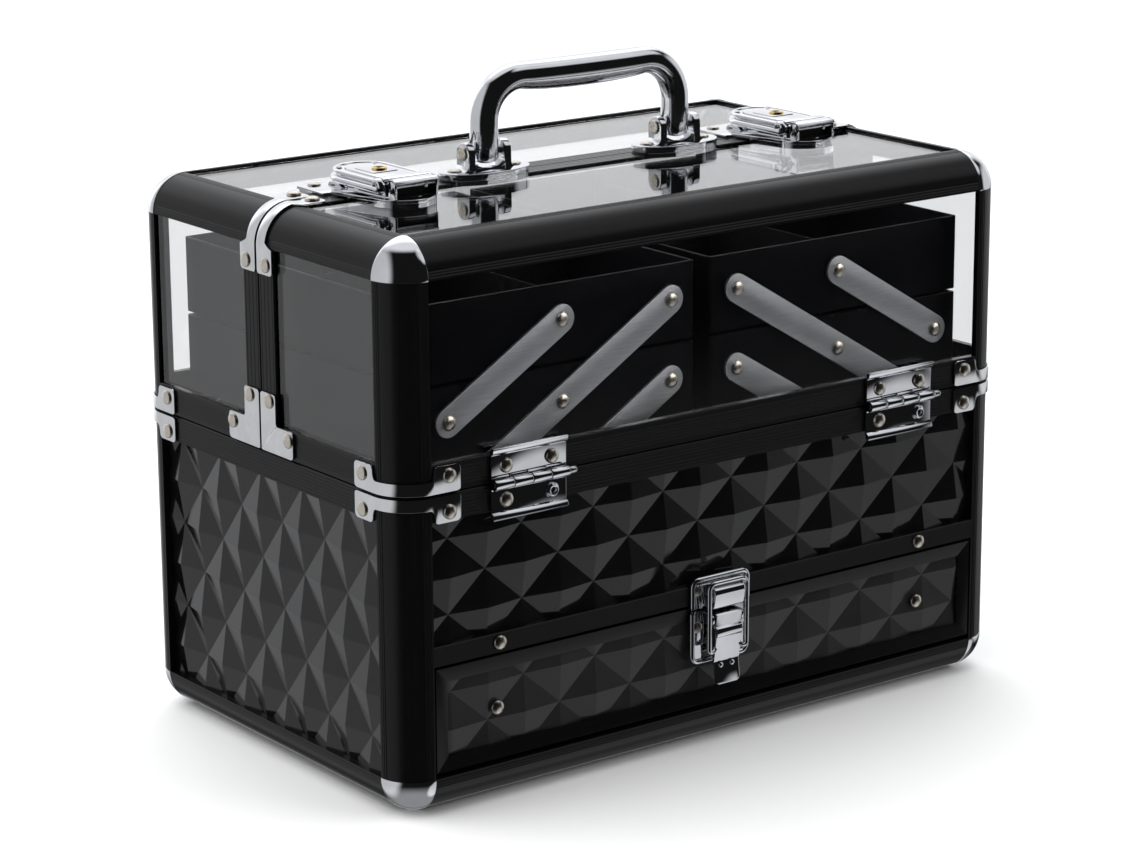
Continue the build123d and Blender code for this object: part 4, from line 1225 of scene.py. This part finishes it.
def stage():
    """A pale floor that fills the view."""
    bm = bmesh.new()
    bmesh.ops.create_grid(bm, x_segments=2, y_segments=2, size=9.0)
    mesh = bpy.data.meshes.new("studio_floor")
    bm.to_mesh(mesh)
    bm.free()
    floor = bpy.data.objects.new("studio_floor", mesh)
    floor.location.z = -0.0002
    floor.visible_glossy = False
    floor.visible_transmission = False
    bpy.context.scene.collection.objects.link(floor)
    material, tree, shader = new_material("pale_floor")
    value = noise_node(tree, 3.0)
    tree.links.new(two_colours(tree, value, (0.90, 0.90, 0.90), (0.93, 0.93, 0.93)),
                   shader.inputs["Base Color"])
    shader.inputs["Roughness"].default_value = 0.9
    shader.inputs["Specular IOR Level"].default_value = 0.1
    mesh.materials.append(material)


def lamp(name, place, target, size, power):
    light = bpy.data.lights.new(name, "AREA")
    light.shape = "SQUARE"
    light.size = size
    light.energy = power
    obj = bpy.data.objects.new(name, light)
    obj.location = place
    aim = Vector(target) - Vector(place)
    obj.rotation_mode = "QUATERNION"
    obj.rotation_quaternion = aim.to_track_quat("-Z", "Y")
    obj.visible_glossy = False
    bpy.context.scene.collection.objects.link(obj)


def world():
    """A soft studio all round, with bright patches where the case reflects a pale wall."""
    sky = bpy.data.worlds.new("studio")
    bpy.context.scene.world = sky
    sky.use_nodes = True
    tree = sky.node_tree
    links = tree.links
    background = tree.nodes["Background"]
    coords = new_node(tree, "TexCoord")

    def glow(direction, start, stop, strength):
        dot = new_node(tree, "VectorMath")
        dot.operation = "DOT_PRODUCT"
        dot.inputs[1].default_value = Vector(direction).normalized()
        links.new(coords.outputs["Generated"], dot.inputs[0])
        ramp = new_node(tree, "MapRange", From_Min=start, From_Max=stop, To_Min=0, To_Max=strength)
        ramp.interpolation_type = "SMOOTHSTEP"
        links.new(dot.outputs["Value"], ramp.inputs["Value"])
        return ramp.outputs["Result"]

    def added(one, two):
        node = new_node(tree, "Math")
        node.operation = "ADD"
        links.new(one, node.inputs[0])
        if isinstance(two, float):
            node.inputs[1].default_value = two
        else:
            links.new(two, node.inputs[1])
        return node.outputs[0]

    total = glow((-0.80, 0.60, 0.0), 0.45, 0.74, 0.60)          # the wall on the left
    for patch in (((0.5, 0.83, 0.25), 0.55, 0.86, 1.05),        # behind, seen in the clear top
                  ((0.58, -0.40, 0.71), 0.92, 0.985, 0.75),     # high in front
                  ((0.25, 0.35, 0.90), 0.74, 0.90, 0.85),       # overhead
                  ((0.55, -0.55, -0.63), 0.895, 0.955, 0.62),   # the pale table in front
                  ((0, 0, -1), 0.5, 0.9, 0.30),                 # the table below
                  ((0.97, -0.15, 0.0), 0.86, 0.96, 0.70)):      # the wall on the right
        total = added(total, glow(*patch))
    total = added(total, DARK_ROOM)
    paths = new_node(tree, "LightPath")
    mix = new_node(tree, "Mix")
    mix.data_type = "FLOAT"
    links.new(paths.outputs["Is Camera Ray"], mix.inputs["Factor"])
    links.new(total, mix.inputs["A"])
    mix.inputs["B"].default_value = BACKDROP
    links.new(mix.outputs["Result"], background.inputs["Strength"])
    background.inputs["Color"].default_value = (0.97, 0.98, 1.0, 1)


def camera():
    data = bpy.data.cameras.new("camera")
    data.lens = 109.64
    data.sensor_width = 36.0
    data.dof.use_dof = False
    obj = bpy.data.objects.new("camera", data)
    bpy.context.scene.collection.objects.link(obj)
    azimuth, elevation, roll = radians(-36.86), radians(15.03), radians(-0.32)
    back = Vector((sin(azimuth) * cos(elevation), -cos(azimuth) * cos(elevation),
                   sin(elevation)))
    obj.rotation_mode = "QUATERNION"
    turn = (-back).to_track_quat("-Z", "Y")
    obj.rotation_quaternion = turn @ Quaternion((0, 0, 1), roll)
    obj.location = (-0.93207, -1.23812, 0.53977)
    data.clip_start, data.clip_end = 0.05, 50.0
    bpy.context.scene.camera = obj


stage()
world()
lamp("key_left", (-1.6, 0.9, 1.4), (0, 0, 0.12), 2.0, 28.0)
lamp("top_fill", (0.2, 1.0, 2.6), (0.2, 1.0, 0), 5.0, 108.0)
lamp("front_fill", (1.6, -1.9, 1.2), (0, 0, 0.12), 2.0, 34.0)
camera()
bpy.context.scene.view_settings.view_transform = "Standard"
